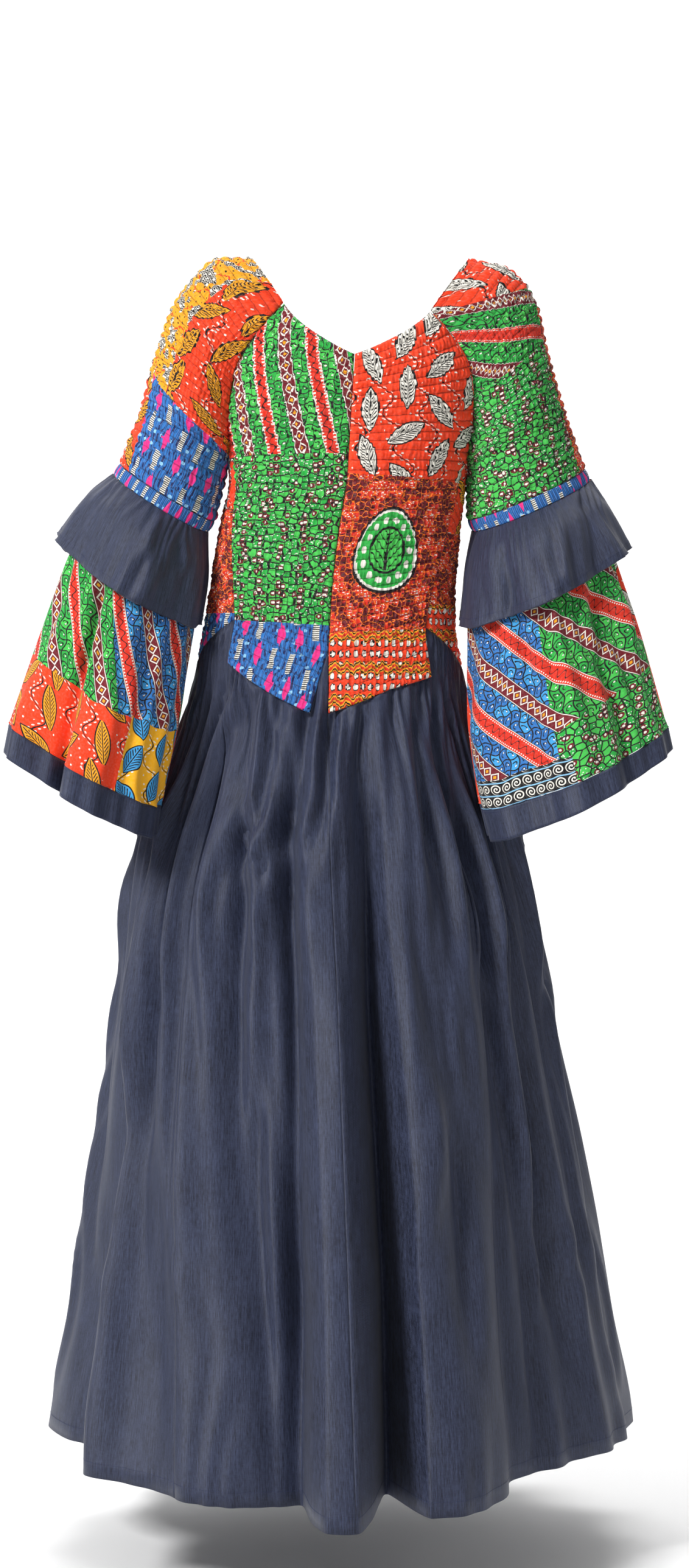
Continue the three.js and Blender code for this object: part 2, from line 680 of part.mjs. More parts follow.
// The six gores are worked out as one ring and then parted at their seams
function skirtGores(material) {
  const ring = [...WAIST_STEPS, ...SKIRT_STEPS].map(() => []);
  for (const gore of GORES) {
    for (let j = 0; j <= gore.columns; j += 1) {
      const across = j / gore.columns;
      const hemTurn = THREE.MathUtils.lerp(gore.from[1], gore.to[1], across);
      const waistTurn = THREE.MathUtils.lerp(gore.from[0], gore.to[0], across);
      const topZ = straight(gore.edge, 'across', across).z;
      const hemZ = HEM_Z - HEM_DIP * Math.max(0, Math.sin(hemTurn * DEGREE)) ** 2;
      const atSeam = j === 0 || j === gore.columns;
      const heights = WAIST_STEPS.map((step) => THREE.MathUtils.lerp(topZ, LEVEL_Z, step));
      for (const step of SKIRT_STEPS) heights.push(THREE.MathUtils.lerp(LEVEL_Z, hemZ, step));
      heights.forEach((z, i) => {
        const step = (topZ - z) / (topZ - hemZ);
        const drop = THREE.MathUtils.clamp((WAIST_Z - z) / (WAIST_Z - hemZ), 0, 1);
        const turn = THREE.MathUtils.lerp(waistTurn, hemTurn, drop);
        const swell = GATHER_RISE * Math.max(0, 1 - step / GATHER_FADE);
        const gather = atSeam ? 0 : swell * (j % 2 ? 1 : -1);
        ring[i].push(skirtPoint(turn, hemTurn, z, hemZ, gather));
      });
    }
  }
  const rising = [...ring].reverse();
  const width = rising[0].length;
  const normals = gridNormals(rising, true);
  const meshes = [];
  let first = 0;
  for (const gore of GORES) {
    const last = first + gore.columns;
    for (let i = 0; i < rising.length; i += 1) {
      const next = (last + 1) % width;
      const shared = rising[i][(next + 1) % width].clone().sub(rising[i][last - 1]).normalize();
      const up = rising[Math.min(i + 1, rising.length - 1)][last].clone();
      up.sub(rising[Math.max(i - 1, 0)][last]);
      shared.cross(up).normalize();
      normals[i][last] = shared;
      normals[i][next] = shared;
    }
    first = last + 1;
  }
  first = 0;
  for (const gore of GORES) {
    const last = first + gore.columns;
    const base = rising.map((row) => row.slice(first, last + 1).map((point) => point.clone()));
    const turned = normals.map((row) => row.slice(first, last + 1));
    drawInEdges(base, true, true);
    meshes.push(wall(gore.name, material, base, moveOut(base, turned, -DENIM_WALL)));
    first = last + 1;
  }
  return meshes;
}

function cloth(color, roughness) {
  return new THREE.MeshStandardMaterial({ color, roughness, metalness: 0, side: THREE.FrontSide });
}

const DENIM = cloth(0x2f3a5c, 0.85);
const GREEN_PRINT = cloth(0x2f9a48, 0.9);
const RED_PRINT = cloth(0xd8452a, 0.9);
const ORANGE_PRINT = cloth(0xe86a22, 0.9);
const BLUE_PRINT = cloth(0x2f6fb0, 0.9);

const dress = new THREE.Group();
dress.add(
  mainPanel('bodice_back_left', GREEN_PRINT, 'left', 'back'),
  mainPanel('bodice_back_right', RED_PRINT, 'right', 'back'),
  mainPanel('bodice_front_left', RED_PRINT, 'left', 'front'),
  mainPanel('bodice_front_right', GREEN_PRINT, 'right', 'front'),
  sidePanel('bodice_side_left', ORANGE_PRINT, 'left'),
  sidePanel('bodice_side_right', ORANGE_PRINT, 'right'),
);
for (const side of ['left', 'right']) {
  const arm = side === 'left' ? LEFT_ARM : RIGHT_ARM;
  const bellFold = (turn) => along(TIER_FOLDS, 'turn', turn)[`${side}Bell`];
  dress.add(
    upperSleeve(`upper_sleeve_${side}`, side === 'left' ? ORANGE_PRINT : GREEN_PRINT, side),
    ringBand(`sleeve_band_${side}`, BLUE_PRINT, side, arm.cuffTop, arm.seam, BAND_COLUMNS,
      SMOCKED_WALL),
    sleeveTier(`sleeve_ruffle_${side}`, DENIM, side, 'ruffle', DENIM_WALL, 0),
    sleeveTier(`sleeve_bell_${side}`, GREEN_PRINT, side, 'bell', PRINT_WALL,
      DENIM_WALL + TIER_GAP),
    ringBand(`bell_band_${side}`, DENIM, side, arm.bell.at(-1), arm.hem, TIER_COLUMNS, DENIM_WALL,
      (turn) => bellFold(turn) - DENIM_WALL - TIER_GAP),
  );
}
dress.add(...skirtGores(DENIM));

export default dress;
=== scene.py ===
"""Peasant dress: the cloth, its prints and its stitching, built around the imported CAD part.

The file is laid out as an add-on. Each operator makes one group of like pieces, and main()
calls them in the order in which such a dress is put together. Lengths in the shape functions
are millimetres; the meshes are in metres. +Z is up, the front faces -Y, the back faces +Y.
"""

import math

import bpy
import numpy as np
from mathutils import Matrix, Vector


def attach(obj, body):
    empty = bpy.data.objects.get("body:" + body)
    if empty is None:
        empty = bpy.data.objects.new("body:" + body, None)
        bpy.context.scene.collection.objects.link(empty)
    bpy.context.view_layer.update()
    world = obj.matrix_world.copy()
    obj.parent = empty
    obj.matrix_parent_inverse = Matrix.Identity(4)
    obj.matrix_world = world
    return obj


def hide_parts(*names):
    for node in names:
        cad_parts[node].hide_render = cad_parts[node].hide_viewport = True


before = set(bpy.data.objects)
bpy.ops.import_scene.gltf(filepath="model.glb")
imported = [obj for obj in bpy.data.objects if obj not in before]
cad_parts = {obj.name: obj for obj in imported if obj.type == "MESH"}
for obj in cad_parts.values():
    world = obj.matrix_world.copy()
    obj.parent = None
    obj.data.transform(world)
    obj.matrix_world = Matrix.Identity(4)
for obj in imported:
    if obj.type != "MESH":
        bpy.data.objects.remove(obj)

bl_info = {
    "name": "Peasant dress",
    "version": (1, 0, 0),
    "blender": (4, 5, 0),
    "location": "3D View > Sidebar > Dress",
    "description": "Builds the printed and denim cloth of a smocked peasant dress",
    "category": "Object",
}

MM = 0.001
TAU = 2 * math.pi

# Cloth walls and seams, in mm, and the part of a turned hem's depth at which it is stitched
EDGE_INSET = 0.25
TIER_GAP = 0.4
ARMHOLE_GAP = 0.7
DENIM_WALL = 1.4
PRINT_WALL = 1.3
SMOCKED_WALL = 1.6
HEM_LIFT = 0.35
THREAD_HALF = 0.28
STITCH_PLACE = 0.85

# Rows of the CAD part that the tables below count in, and how much lower in mm the right side hangs
PANEL_ROWS = 25
SIDE_ROWS = 13
SLEEVE_ROWS = 19
CLOSED_SLEEVE_ROWS = 4
RIGHT_DROP = 10

# Rows and columns of the fine grids. The upper sleeve's rows are for each row of the CAD part,
# and a gore's are above and below the level where the waist's edge ends
PANEL_GRID = (234, 100)
SIDE_GRID = (132, 80)
SLEEVE_GRID = (8, 220)
BAND_ROWS = 10
SLEEVE_BAND_COLUMNS = 384
TIER_ROWS = {"ruffle": 44, "bell": 90}
TIER_COLUMNS = 300
GORE_ROWS = (12, 57)
GORE_COLUMNS = {"side": 144, "back": 90, "front": 90}

# Seeds of the folds that all tiers of a sleeve share
TIER_SEEDS = {"left": 31, "right": 35}

# Rows of elastic thread up each smocked piece, and how far their pull fades at a seam, in mm
PANEL_ELASTIC = 39
SIDE_ELASTIC = 22
SLEEVE_ELASTIC = 28.5
SEAM_FADE = 3.2

# Cloth round a sleeve tier, round the skirt's hem and in its waist gathers, how many times as
# much cloth as seam a gather holds, and how long the tiers hang, in mm
TIER_CUT = 630
HEM_SWEEP = 2350
GATHERED_SWEEP = 2400
WAIST_FULLNESS = 2.6
TIER_LENGTHS = {"ruffle": 115.0, "bell": 320.0}

# Studio in m: the floor, how far it reaches behind and before and to a side, where it curves up
# into the wall, the lights (place, aim, size and watts) and the camera of the photo
FLOOR_Z = -1.541
FLOOR_REACH = 9.0
FLOOR_SIDE = 7.0
CURVE_Y = -1.9
CURVE_RADIUS = 1.2
CURVE_STEPS = 16
WALL_TOP = 5.0
LIGHTS = [
    ("key_light", (2.5, 2.5, 1.75), (0, 0, -0.5), 1.0, 178),
    ("fill_light", (-2.2, 3.0, 0.2), (0, 0, -0.7), 1.6, 15),
    ("wall_light", (0.0, -1.3, 2.2), (0, -3.1, -0.4), 2.4, 128),
]
CAMERA_PLACE = (0, 3.6, -0.541)
CAMERA_AIM = (0, 0, -0.6293)

# Sections of the garment looking down on it: z, centre, side, back, front, round
SECTIONS = np.array([
    (-1440, 2, 353, 350, 318, 2.0), (-1260, 4, 325, 300, 280, 2.0),
    (-1080, 7, 294, 252, 240, 2.0), (-860, 12, 256, 194, 192, 2.0),
    (-685, 18, 228, 143, 150, 2.0), (-548, 19, 174, 106, 116, 2.2),
    (-483, 19, 157, 92, 104, 2.2), (-418, 16, 147, 84, 98, 2.2),
    (-326, 6, 143, 89, 106, 2.3), (-271, -3, 140, 97, 119, 2.3),
    (-240, -5, 143, 101, 121, 2.3), (-190, -8, 152, 103, 112, 2.3),
    (-140, -11, 156, 98, 94, 2.3), (-95, -13, 146, 84, 70, 2.3),
    (-40, -13, 122, 56, 42, 2.3),
], dtype=float)

# Raglan seam from the neckline to the underarm: seam, turn, z
RAGLAN = np.array([
    (0, 51, -58), (0.22, 39, -95), (0.45, 28, -135), (0.66, 21, -172),
    (0.88, 12, -218), (0.94, 7, -231), (1, 0, -240),
], dtype=float)

# Edges of the back and front panels: row, turn, z
PANEL_SIDE_EDGE = np.array([
    (0, 42, -484), (3.5, 42, -433), (7, 36, -380), (12, 25, -305), (17, 12, -218),
    (19.3, 21, -172), (21.2, 28, -135), (23.2, 39, -95), (25, 51, -58),
], dtype=float)
LEFT_CENTRE_EDGE = np.array([
    (0, 84, -544), (4, 90, -470), (17, 90, -230), (25, 90, -123),
], dtype=float)
RIGHT_CENTRE_EDGE = np.array([
    (0, 90, -544), (4, 90, -470), (17, 90, -230), (25, 90, -123),
], dtype=float)
RIGHT_WAIST = np.array([(0, -7), (0.5, 3), (1, 0)], dtype=float)
WAIST_ROWS = 3.5

# Side panels: row, half their angle, height at the edge, height under the arm
SIDE_PANEL = np.array([
    (0, 42, -433, -479), (3, 36, -380, -425), (8, 25, -305, -334), (13, 12, -218, -240),
], dtype=float)

# Upper sleeves above the underarm: seam, outX, outZ, turn, depth
CAPS = {
    "left": np.array([
        (0, 111, 0, 90, 48), (0.16, 150, 1, 97, 56), (0.27, 175, -16, 103, 60),
        (0.45, 202, -51, 114, 64), (0.61, 217, -88, 128, 66), (0.77, 229, -125, 146, 66),
        (1, 243, -180, 180, 62),
    ], dtype=float),
    "right": np.array([
        (0, 149, -1, 90, 48), (0.16, 188, -8, 97, 58), (0.27, 211, -24, 103, 62),
        (0.45, 232, -62, 114, 66), (0.61, 241, -103, 128, 68), (0.77, 251, -142, 146, 68),
        (1, 266, -190, 180, 66),
    ], dtype=float),
}

# Rings of the sleeves: drop, outX, outZ, inX, inZ, y, back, front, droop
ARMS = {
    "left": {
        "cuff": (269, -244, 156, -313, 4, 62, 62, 9),
        "seam": (277, -257, 164, -326, 5, 63, 63, 10),
        "ruffle": np.array([
            (0, 277, -257, 164, -326, 5, 64, 64, 10),
            (0.35, 305, -278, 164, -362, 12, 86, 82, 14),
            (1, 343, -334, 173, -436, 24, 108, 92, 22),
        ], dtype=float),
        "bell": np.array([
            (0, 277, -257, 164, -326, 5, 64, 64, 10),
            (0.12, 290, -282, 170, -362, 12, 74, 70, 13),
            (0.32, 328, -348, 179, -437, 24, 90, 74, 14),
            (0.65, 362, -450, 194, -540, 50, 94, 64, 12),
            (1, 395, -554, 216, -651, 76, 98, 68, 10),
        ], dtype=float),
        "hem": (401, -588, 221, -688, 82, 99, 69, 10),
    },
    "right": {
        "cuff": (288, -250, 148, -311, 4, 66, 66, 11),
        "seam": (294, -264, 154, -325, 5, 67, 67, 12),
        "ruffle": np.array([
            (0, 294, -264, 154, -325, 5, 68, 68, 12),
            (0.35, 312, -288, 146, -362, 14, 92, 88, 16),
            (1, 339, -345, 139, -437, 30, 114, 98, 22),
        ], dtype=float),
        "bell": np.array([
            (0, 294, -264, 154, -325, 5, 68, 68, 12),
            (0.12, 300, -288, 152, -362, 14, 78, 74, 14),
            (0.32, 326, -370, 146, -438, 32, 94, 78, 16),
            (0.65, 353, -458, 146, -545, 60, 100, 70, 18),
            (1, 378, -556, 160, -651, 88, 104, 74, 18),
        ], dtype=float),
        "hem": (383, -582, 169, -689, 94, 105, 75, 18),
    },
}

# Folds of the sleeve tiers at their hems: turn, ruffle, left bell, right bell
TIER_FOLDS = np.array([
    (-180, 0, 0, 0), (-150, 7, 10, 8), (-122, -7, -12, -12), (-92, 8, 10, 10),
    (-60, -7, -14, -12), (-28, 7, 6, 8), (0, 0, 0, 0), (22, 2, 2, 4), (45, -14, -26, -8),
    (68, -10, -42, 5), (92, 8, 10, 7), (120, -6, 3, -10), (150, 6, 6, 7), (180, 0, 0, 0),
], dtype=float)
FOLD_COLUMN = {("ruffle", "left"): 0, ("ruffle", "right"): 0,
               ("bell", "left"): 1, ("bell", "right"): 2}

# Gathers of the tiers: how many at the seam and further down, and their depths in mm
SEAM_GATHERS = 36
LOW_GATHERS = 17
SEAM_GATHER_DEPTH = 2.9
LOW_GATHER_DEPTH = 3.1

# Skirt gores: name, turns of the first seam at waist and hem, of the second, waist edge heights
GORES = [
    ("side_left", (-42, -58), (42, 58), [(0, -433), (0.5, -479), (1, -433)]),
    ("back_left", (42, 58), (90, 92), [(0, -484), (0.875, -544), (1, -470)]),
    ("back_right", (90, 92), (138, 126), [(0, -544), (0.5, -516), (1, -501)]),
    ("side_right", (138, 126), (222, 238), [(0, -443), (0.5, -489), (1, -443)]),
    ("front_right", (222, 238), (270, 270), [(0, -501), (0.5, -516), (1, -544)]),
    ("front_left", (270, 270), (318, 302), [(0, -470), (0.125, -544), (1, -484)]),
]
LEVEL_Z = -572
WAIST_Z = -545
HEM_Z = -1402
HEM_DIP = 22

# Skirt gathers: the height from which they are counted down, how many folds the puckers flow
# into, and how deep the puckers and the folds are in mm
GATHER_Z = -455
MIDDLE_FOLDS = 37
LONG_FOLDS = 22
PUCKER_DEPTH = 4.0
MIDDLE_DEPTH = 8.0
LONG_DEPTH = 9.0

# Where a hanging bell presses the skirt in: turn from the skirt's side, height, how far above
# and below, and how deep in mm
PRESS_TURN = 36
PRESS_Z = -630
PRESS_REACH = 190
PRESS_DEPTH = 22

# Skirt folds at the hem: turn, out
SKIRT_FOLDS = np.array([
    (-60, -22), (-47, 20), (-34, -20), (-20, 16), (-9, -10), (0, 2), (12, -6), (23, -34),
    (32, 4), (38, 40), (46, 22), (54, -4), (62, -10), (70, -3), (77, -10), (81.5, -36),
    (85.5, 36), (88, 66), (92, 72), (94.5, 32), (97.5, -30), (101, -76), (105, 30),
    (109, 36), (118, 6), (126, -22), (134, -46), (142, -42), (150, -26), (158, -12),
    (168, -7), (180, -2), (191, -16), (203, 15), (216, -22), (229, 20), (242, -24),
    (254, 24), (266, -20), (278, 26), (290, -24), (300, -22),
], dtype=float)

# Creases of the skirt: turn at the waist and at the hem, half width in degrees,
# heights at which it starts and ends as parts of the drop, depth out (+) or in (-) in mm
SKIRT_CREASES = [
    (18, 26, 3.2, 0.02, 0.75, -10), (29, 37, 2.6, 0.0, 0.55, 10), (38, 47, 3.4, 0.04, 0.62, -16),
    (47, 54, 2.8, 0.02, 0.7, 11), (50, 41, 7.0, 0.42, 1.0, -26), (56, 62, 2.6, 0.0, 0.62, -12),
    (63, 60, 4.0, 0.1, 1.0, 13), (68, 71, 2.6, 0.05, 0.8, -17), (72, 76, 2.4, 0.4, 1.0, -22),
    (74, 75, 2.2, 0.0, 0.42, 9), (78, 80, 2.0, 0.0, 0.8, 10), (83, 84, 2.6, 0.03, 0.92, -20),
    (97, 95, 1.8, 0.0, 0.45, 9), (104, 100, 2.8, 0.02, 1.0, -18), (111, 106, 2.4, 0.0, 0.6, 11),
    (117, 113, 2.6, 0.04, 0.9, -15), (127, 120, 2.8, 0.0, 0.6, 10), (136, 127, 3.2, 0.03, 1.0, -18),
    (146, 137, 3.0, 0.0, 0.7, 11), (155, 147, 3.6, 0.05, 0.9, -14), (168, 163, 3.4, 0.02, 0.6, -9),
    (196, 198, 3.2, 0.0, 0.7, 9), (214, 219, 3.4, 0.03, 1.0, -14), (236, 240, 3.0, 0.0, 0.6, 9),
    (252, 255, 2.8, 0.04, 0.9, -13), (275, 273, 2.6, 0.0, 0.5, 9), (292, 287, 3.2, 0.03, 1.0, -14),
    (-52, -44, 2.8, 0.0, 0.6, 9), (-30, -24, 3.4, 0.04, 1.0, -13), (-8, -6, 3.0, 0.0, 0.7, 9),
]

# Creases of the sleeve tiers: kind, side, turn at the seam and at the hem, half width, start,
# end, depth
TIER_CREASES = [
    ("ruffle", "left", 30, 34, 7, 0.1, 1.0, -5), ("ruffle", "left", 96, 104, 6, 0.05, 0.9, 5),
    ("ruffle", "left", 128, 132, 6, 0.2, 1.0, -5), ("ruffle", "right", 38, 46, 7, 0.1, 1.0, -5),
    ("ruffle", "right", 70, 80, 6, 0.05, 0.9, 6), ("ruffle", "right", 118, 122, 6, 0.2, 1.0, -6),
    ("bell", "left", 60, 64, 5, 0.25, 1.0, -12), ("bell", "left", 74, 78, 6, 0.2, 1.0, 12),
    ("bell", "left", 22, 26, 6, 0.3, 0.9, -6), ("bell", "left", 116, 122, 6, 0.25, 1.0, -6),
    ("bell", "right", 52, 58, 6, 0.25, 1.0, -9), ("bell", "right", 88, 84, 6, 0.2, 0.95, 8),
    ("bell", "right", 112, 108, 5, 0.3, 1.0, -9), ("bell", "right", 30, 26, 6, 0.3, 0.8, 5),
    ("bell", "left", -70, -66, 7, 0.2, 1.0, -8), ("bell", "right", -72, -76, 7, 0.2, 1.0, -8),
]


# Tables, noise and grids

def smooth(table, place):
    """Values of a table at places along its first column, smooth and without overshoot."""
    keys, values = table[:, 0], table[:, 1:]
    rise = np.diff(values, axis=0) / np.diff(keys)[:, None]
    product = rise[:-1] * rise[1:]
    total = np.where(product > 0, rise[:-1] + rise[1:], 1.0)
    tangent = np.zeros_like(values)
    tangent[1:-1] = np.where(product > 0, 2 * product / total, 0.0)
    place = np.asarray(place, dtype=float)
    low = np.clip(np.searchsorted(keys, place, side="right") - 1, 0, len(keys) - 2)
    span = (keys[low + 1] - keys[low])[..., None]
    part = np.clip((place - keys[low])[..., None] / span, 0, 1)
    square, cube = part ** 2, part ** 3
    return ((2 * cube - 3 * square + 1) * values[low] + (cube - 2 * square + part) * span * tangent[low]
            + (3 * square - 2 * cube) * values[low + 1] + (cube - square) * span * tangent[low + 1])


def straight(table, place):
    """The same with straight lines between the rows of the table."""
    table = np.asarray(table, dtype=float)
    columns = [np.interp(place, table[:, 0], table[:, k]) for k in range(1, table.shape[1])]
    return np.stack(columns, axis=-1)


def mix(first, second, part):
    """The value that lies a part of the way from the first to the second."""
    return first + (second - first) * part


def ease(low, high, value):
    """0 up to low, 1 from high on, and a soft slope between them."""
    part = np.clip((value - low) / (high - low), 0, 1)
    return part * part * (3 - 2 * part)


def soft_noise(x, y, seed, wrap=None):
    """Smooth noise from -1 to 1 that swings about once in every two units."""
    table = np.random.default_rng(seed).uniform(-1, 1, (97, 97))
    x, y = np.broadcast_arrays(np.asarray(x, float), np.asarray(y, float))
    left, low = np.floor(x).astype(int), np.floor(y).astype(int)
    part_x, part_y = x - left, y - low
    part_x = part_x * part_x * (3 - 2 * part_x)
    part_y = part_y * part_y * (3 - 2 * part_y)
    right = left + 1
    if wrap:
        left, right = left % wrap, right % wrap
    left, right, low, high = left % 97, right % 97, low % 97, (low + 1) % 97
    return mix(mix(table[left, low], table[right, low], part_x),
               mix(table[left, high], table[right, high], part_x), part_y)


def crease(turn, drop, first, last, half, start, end, depth):
    """A soft ridge or trough that fades out at both of its ends and wanders a little."""
    centre = mix(first, last, drop) + 0.35 * half * np.sin(drop * 9 + first)
    aside = (turn - centre + 180) % 360 - 180
    reach = half * (0.75 + 0.5 * drop)
    ends = ease(start, start + 0.16, drop) * (1 - ease(end - 0.18, end + 0.02, drop) * (end < 1))
    return depth * np.exp(-(aside / reach) ** 2) * ends


def normals_of(grid, closed_to=-1):
    """Outward directions of a grid. Rows up to closed_to join up at their side edges."""
    across = np.empty_like(grid)
    across[:, 1:-1] = grid[:, 2:] - grid[:, :-2]
    across[:, 0] = grid[:, 1] - grid[:, 0]
    across[:, -1] = grid[:, -1] - grid[:, -2]
    if closed_to >= 0:
        joined = grid[:closed_to + 1, 1] - grid[:closed_to + 1, -2]
        across[:closed_to + 1, 0] = joined
        across[:closed_to + 1, -1] = joined
    up = np.empty_like(grid)
    up[1:-1] = grid[2:] - grid[:-2]
    up[0] = grid[1] - grid[0]
    up[-1] = grid[-1] - grid[-2]
    out = np.cross(across, up)
    return out / np.maximum(np.linalg.norm(out, axis=-1, keepdims=True), 1e-9)


def draw_in(grid, sides, ends):
    """Draws the edges of a grid in, to leave the seam's gap."""
    def towards(edge, beside):
        step = beside - edge
        return edge + step / np.linalg.norm(step, axis=-1, keepdims=True) * EDGE_INSET
    if sides:
        grid[:, 0] = towards(grid[:, 0], grid[:, 1])
        grid[:, -1] = towards(grid[:, -1], grid[:, -2])
    if ends:
        grid[0] = towards(grid[0], grid[1])
        grid[-1] = towards(grid[-1], grid[-2])


def lengths_across(grid, start):
    """Distance of each grid point along its row from the column start, signed."""
    steps = np.linalg.norm(np.diff(grid, axis=1), axis=-1)
    total = np.concatenate([np.zeros((grid.shape[0], 1)), np.cumsum(steps, axis=1)], axis=1)
    return total - total[:, start][:, None]


def lengths_up(grid):
    steps = np.linalg.norm(np.diff(grid, axis=0), axis=-1)
    return np.concatenate([np.zeros((1, grid.shape[1])), np.cumsum(steps, axis=0)], axis=0)


# Surfaces of the garment

def body_point(turn, z, out=0.0):
    """Point of the dress's section at a height, turned backwards from its left side."""
    centre, side, back, front, rounding = np.moveaxis(smooth(SECTIONS, z), -1, 0)
    cosine, sine = np.cos(np.radians(turn)), np.sin(np.radians(turn))
    power = 2 / rounding
    across = np.sign(cosine) * np.abs(cosine) ** power
    deep = np.sign(sine) * np.abs(sine) ** power
    depth = np.where(sine > 0, back, front)
    x = centre + (side + out) * across
    return np.stack(np.broadcast_arrays(x, (depth + out) * deep, z), axis=-1)


def ring_point(ring, turn, out):
    """Point of a sleeve ring: turn 0 is its outer line, 90 the back, 180 the underarm line."""
    out_x, out_z, in_x, in_z, y, back, front, droop = np.moveaxis(ring, -1, 0)
    half_x, half_z = (out_x - in_x) / 2, (out_z - in_z) / 2
    reach = np.hypot(half_x, half_z)
    cosine, sine = np.cos(np.radians(turn)), np.sin(np.radians(turn))
    outwards = cosine * (reach + out) / reach
    return np.stack([
        (out_x + in_x) / 2 + half_x * outwards,
        y + (np.where(sine > 0, back, front) + out) * sine,
        (out_z + in_z) / 2 + half_z * outwards - droop * sine,
    ], axis=-1)


def sided(grid, side):
    """Sleeves are worked out on the left of the dress and mirrored for its right."""
    if side == "right":
        grid[..., 0] = -grid[..., 0]
    return grid


def turns_round(columns, side):
    """Turns of a sleeve grid's columns, so that they run the same way round on both sides."""
    turn = np.linspace(-180, 180, columns + 1)
    return turn if side == "left" else -turn


def raglan_point(seam, back, side):
    turn, z = np.moveaxis(smooth(RAGLAN, seam), -1, 0)
    if side == "right":
        turn, z = 180 - turn, z - RIGHT_DROP
    return sided(body_point(turn if back else -turn, z), side)


def cap_rows(side, seam, columns):
    """Open rows of the upper sleeve, from the front raglan seam over the arm to the back one."""
    out_x, out_z, reach, depth = (part[:, None] for part in smooth(CAPS[side], seam).T)
    part = turns_round(columns, side)[None, :] / 180
    front, back = raglan_point(seam, False, side), raglan_point(seam, True, side)
    end = np.where((part < 0)[..., None], front[:, None, :], back[:, None, :])
    reach = np.radians(reach)
    pull = 1 - np.cos(reach)
    middle_x = (end[..., 0] - out_x * np.cos(reach)) / pull
    middle_z = (end[..., 2] - out_z * np.cos(reach)) / pull
    angle = np.abs(part) * reach
    shift = np.abs(end[..., 1]) - depth * np.sin(reach)
    deep = depth * np.sin(angle) + shift * np.abs(part) ** 3
    return sided(np.stack([
        middle_x + (out_x - middle_x) * np.cos(angle),
        np.sign(part) * deep,
        middle_z + (out_z - middle_z) * np.cos(angle),
    ], axis=-1), side)


def smocking(sizes, across, rows, seed, edge):
    """Relief of cloth gathered on elastic rows: tight valleys on the rows, puffs between them,
    and uneven crinkles that run on from row to row. edge is 0 at a seam and 1 away from it."""
    pitch = sizes.crinkle_pitch / MM
    height = sizes.puff_height / MM
    puffed = np.abs(np.sin(math.pi * rows)) ** 0.7
    drift = 2.6 * soft_noise(across / 13, rows * 0.55, seed)
    drift += 1.6 * soft_noise(across / 5, rows * 1.7, seed + 1)
    wave = (across + drift) / pitch
    crinkle = (0.5 + 0.5 * np.cos(TAU * wave)) ** 0.7
    slow_drift = 0.9 * soft_noise(across / 21, rows * 0.9, seed + 2)
    second = 0.5 + 0.5 * np.cos(TAU * (wave * 0.53 + slow_drift))
    tall = 0.85 + 0.35 * soft_noise(across / 8, rows * 0.8, seed + 3)
    puff = puffed * (0.3 + 0.6 * crinkle + 0.3 * second) * tall
    pinched = (1 - puffed) * 0.25 * crinkle
    relief = height * (puff + pinched) - 0.75
    return relief * edge - 0.8 * (1 - edge), 1.2 * np.sin(TAU * wave)


# Meshes

def picked(count, step, keep=()):
    """Every few numbers of a count, with its last one and those to keep."""
    numbers = set(range(0, count, step)) | {count - 1} | {k for k in keep if k >= 0}
    return np.array(sorted(numbers))


def put_in_scene(name, data):
    item = bpy.data.objects.new(name, data)
    bpy.context.scene.collection.objects.link(item)
    return item


def zip_edges(edge, edge_at, back, back_at):
    """Triangles between two edges that run side by side, and the points that give their UVs."""
    faces, places = [], []
    k = m = 0
    while k < len(edge) - 1 or m < len(back) - 1:
        edge_left = k < len(edge) - 1
        if m == len(back) - 1 or (edge_left and edge_at[k + 1] <= back_at[m + 1] + 1e-9):
            faces.append((edge[k], edge[k + 1], back[m]))
            places.append((edge[k], edge[k + 1], edge[k]))
            k += 1
        else:
            faces.append((edge[k], back[m + 1], back[m]))
            places.append((edge[k], edge[k], edge[k]))
            m += 1
    return faces, places


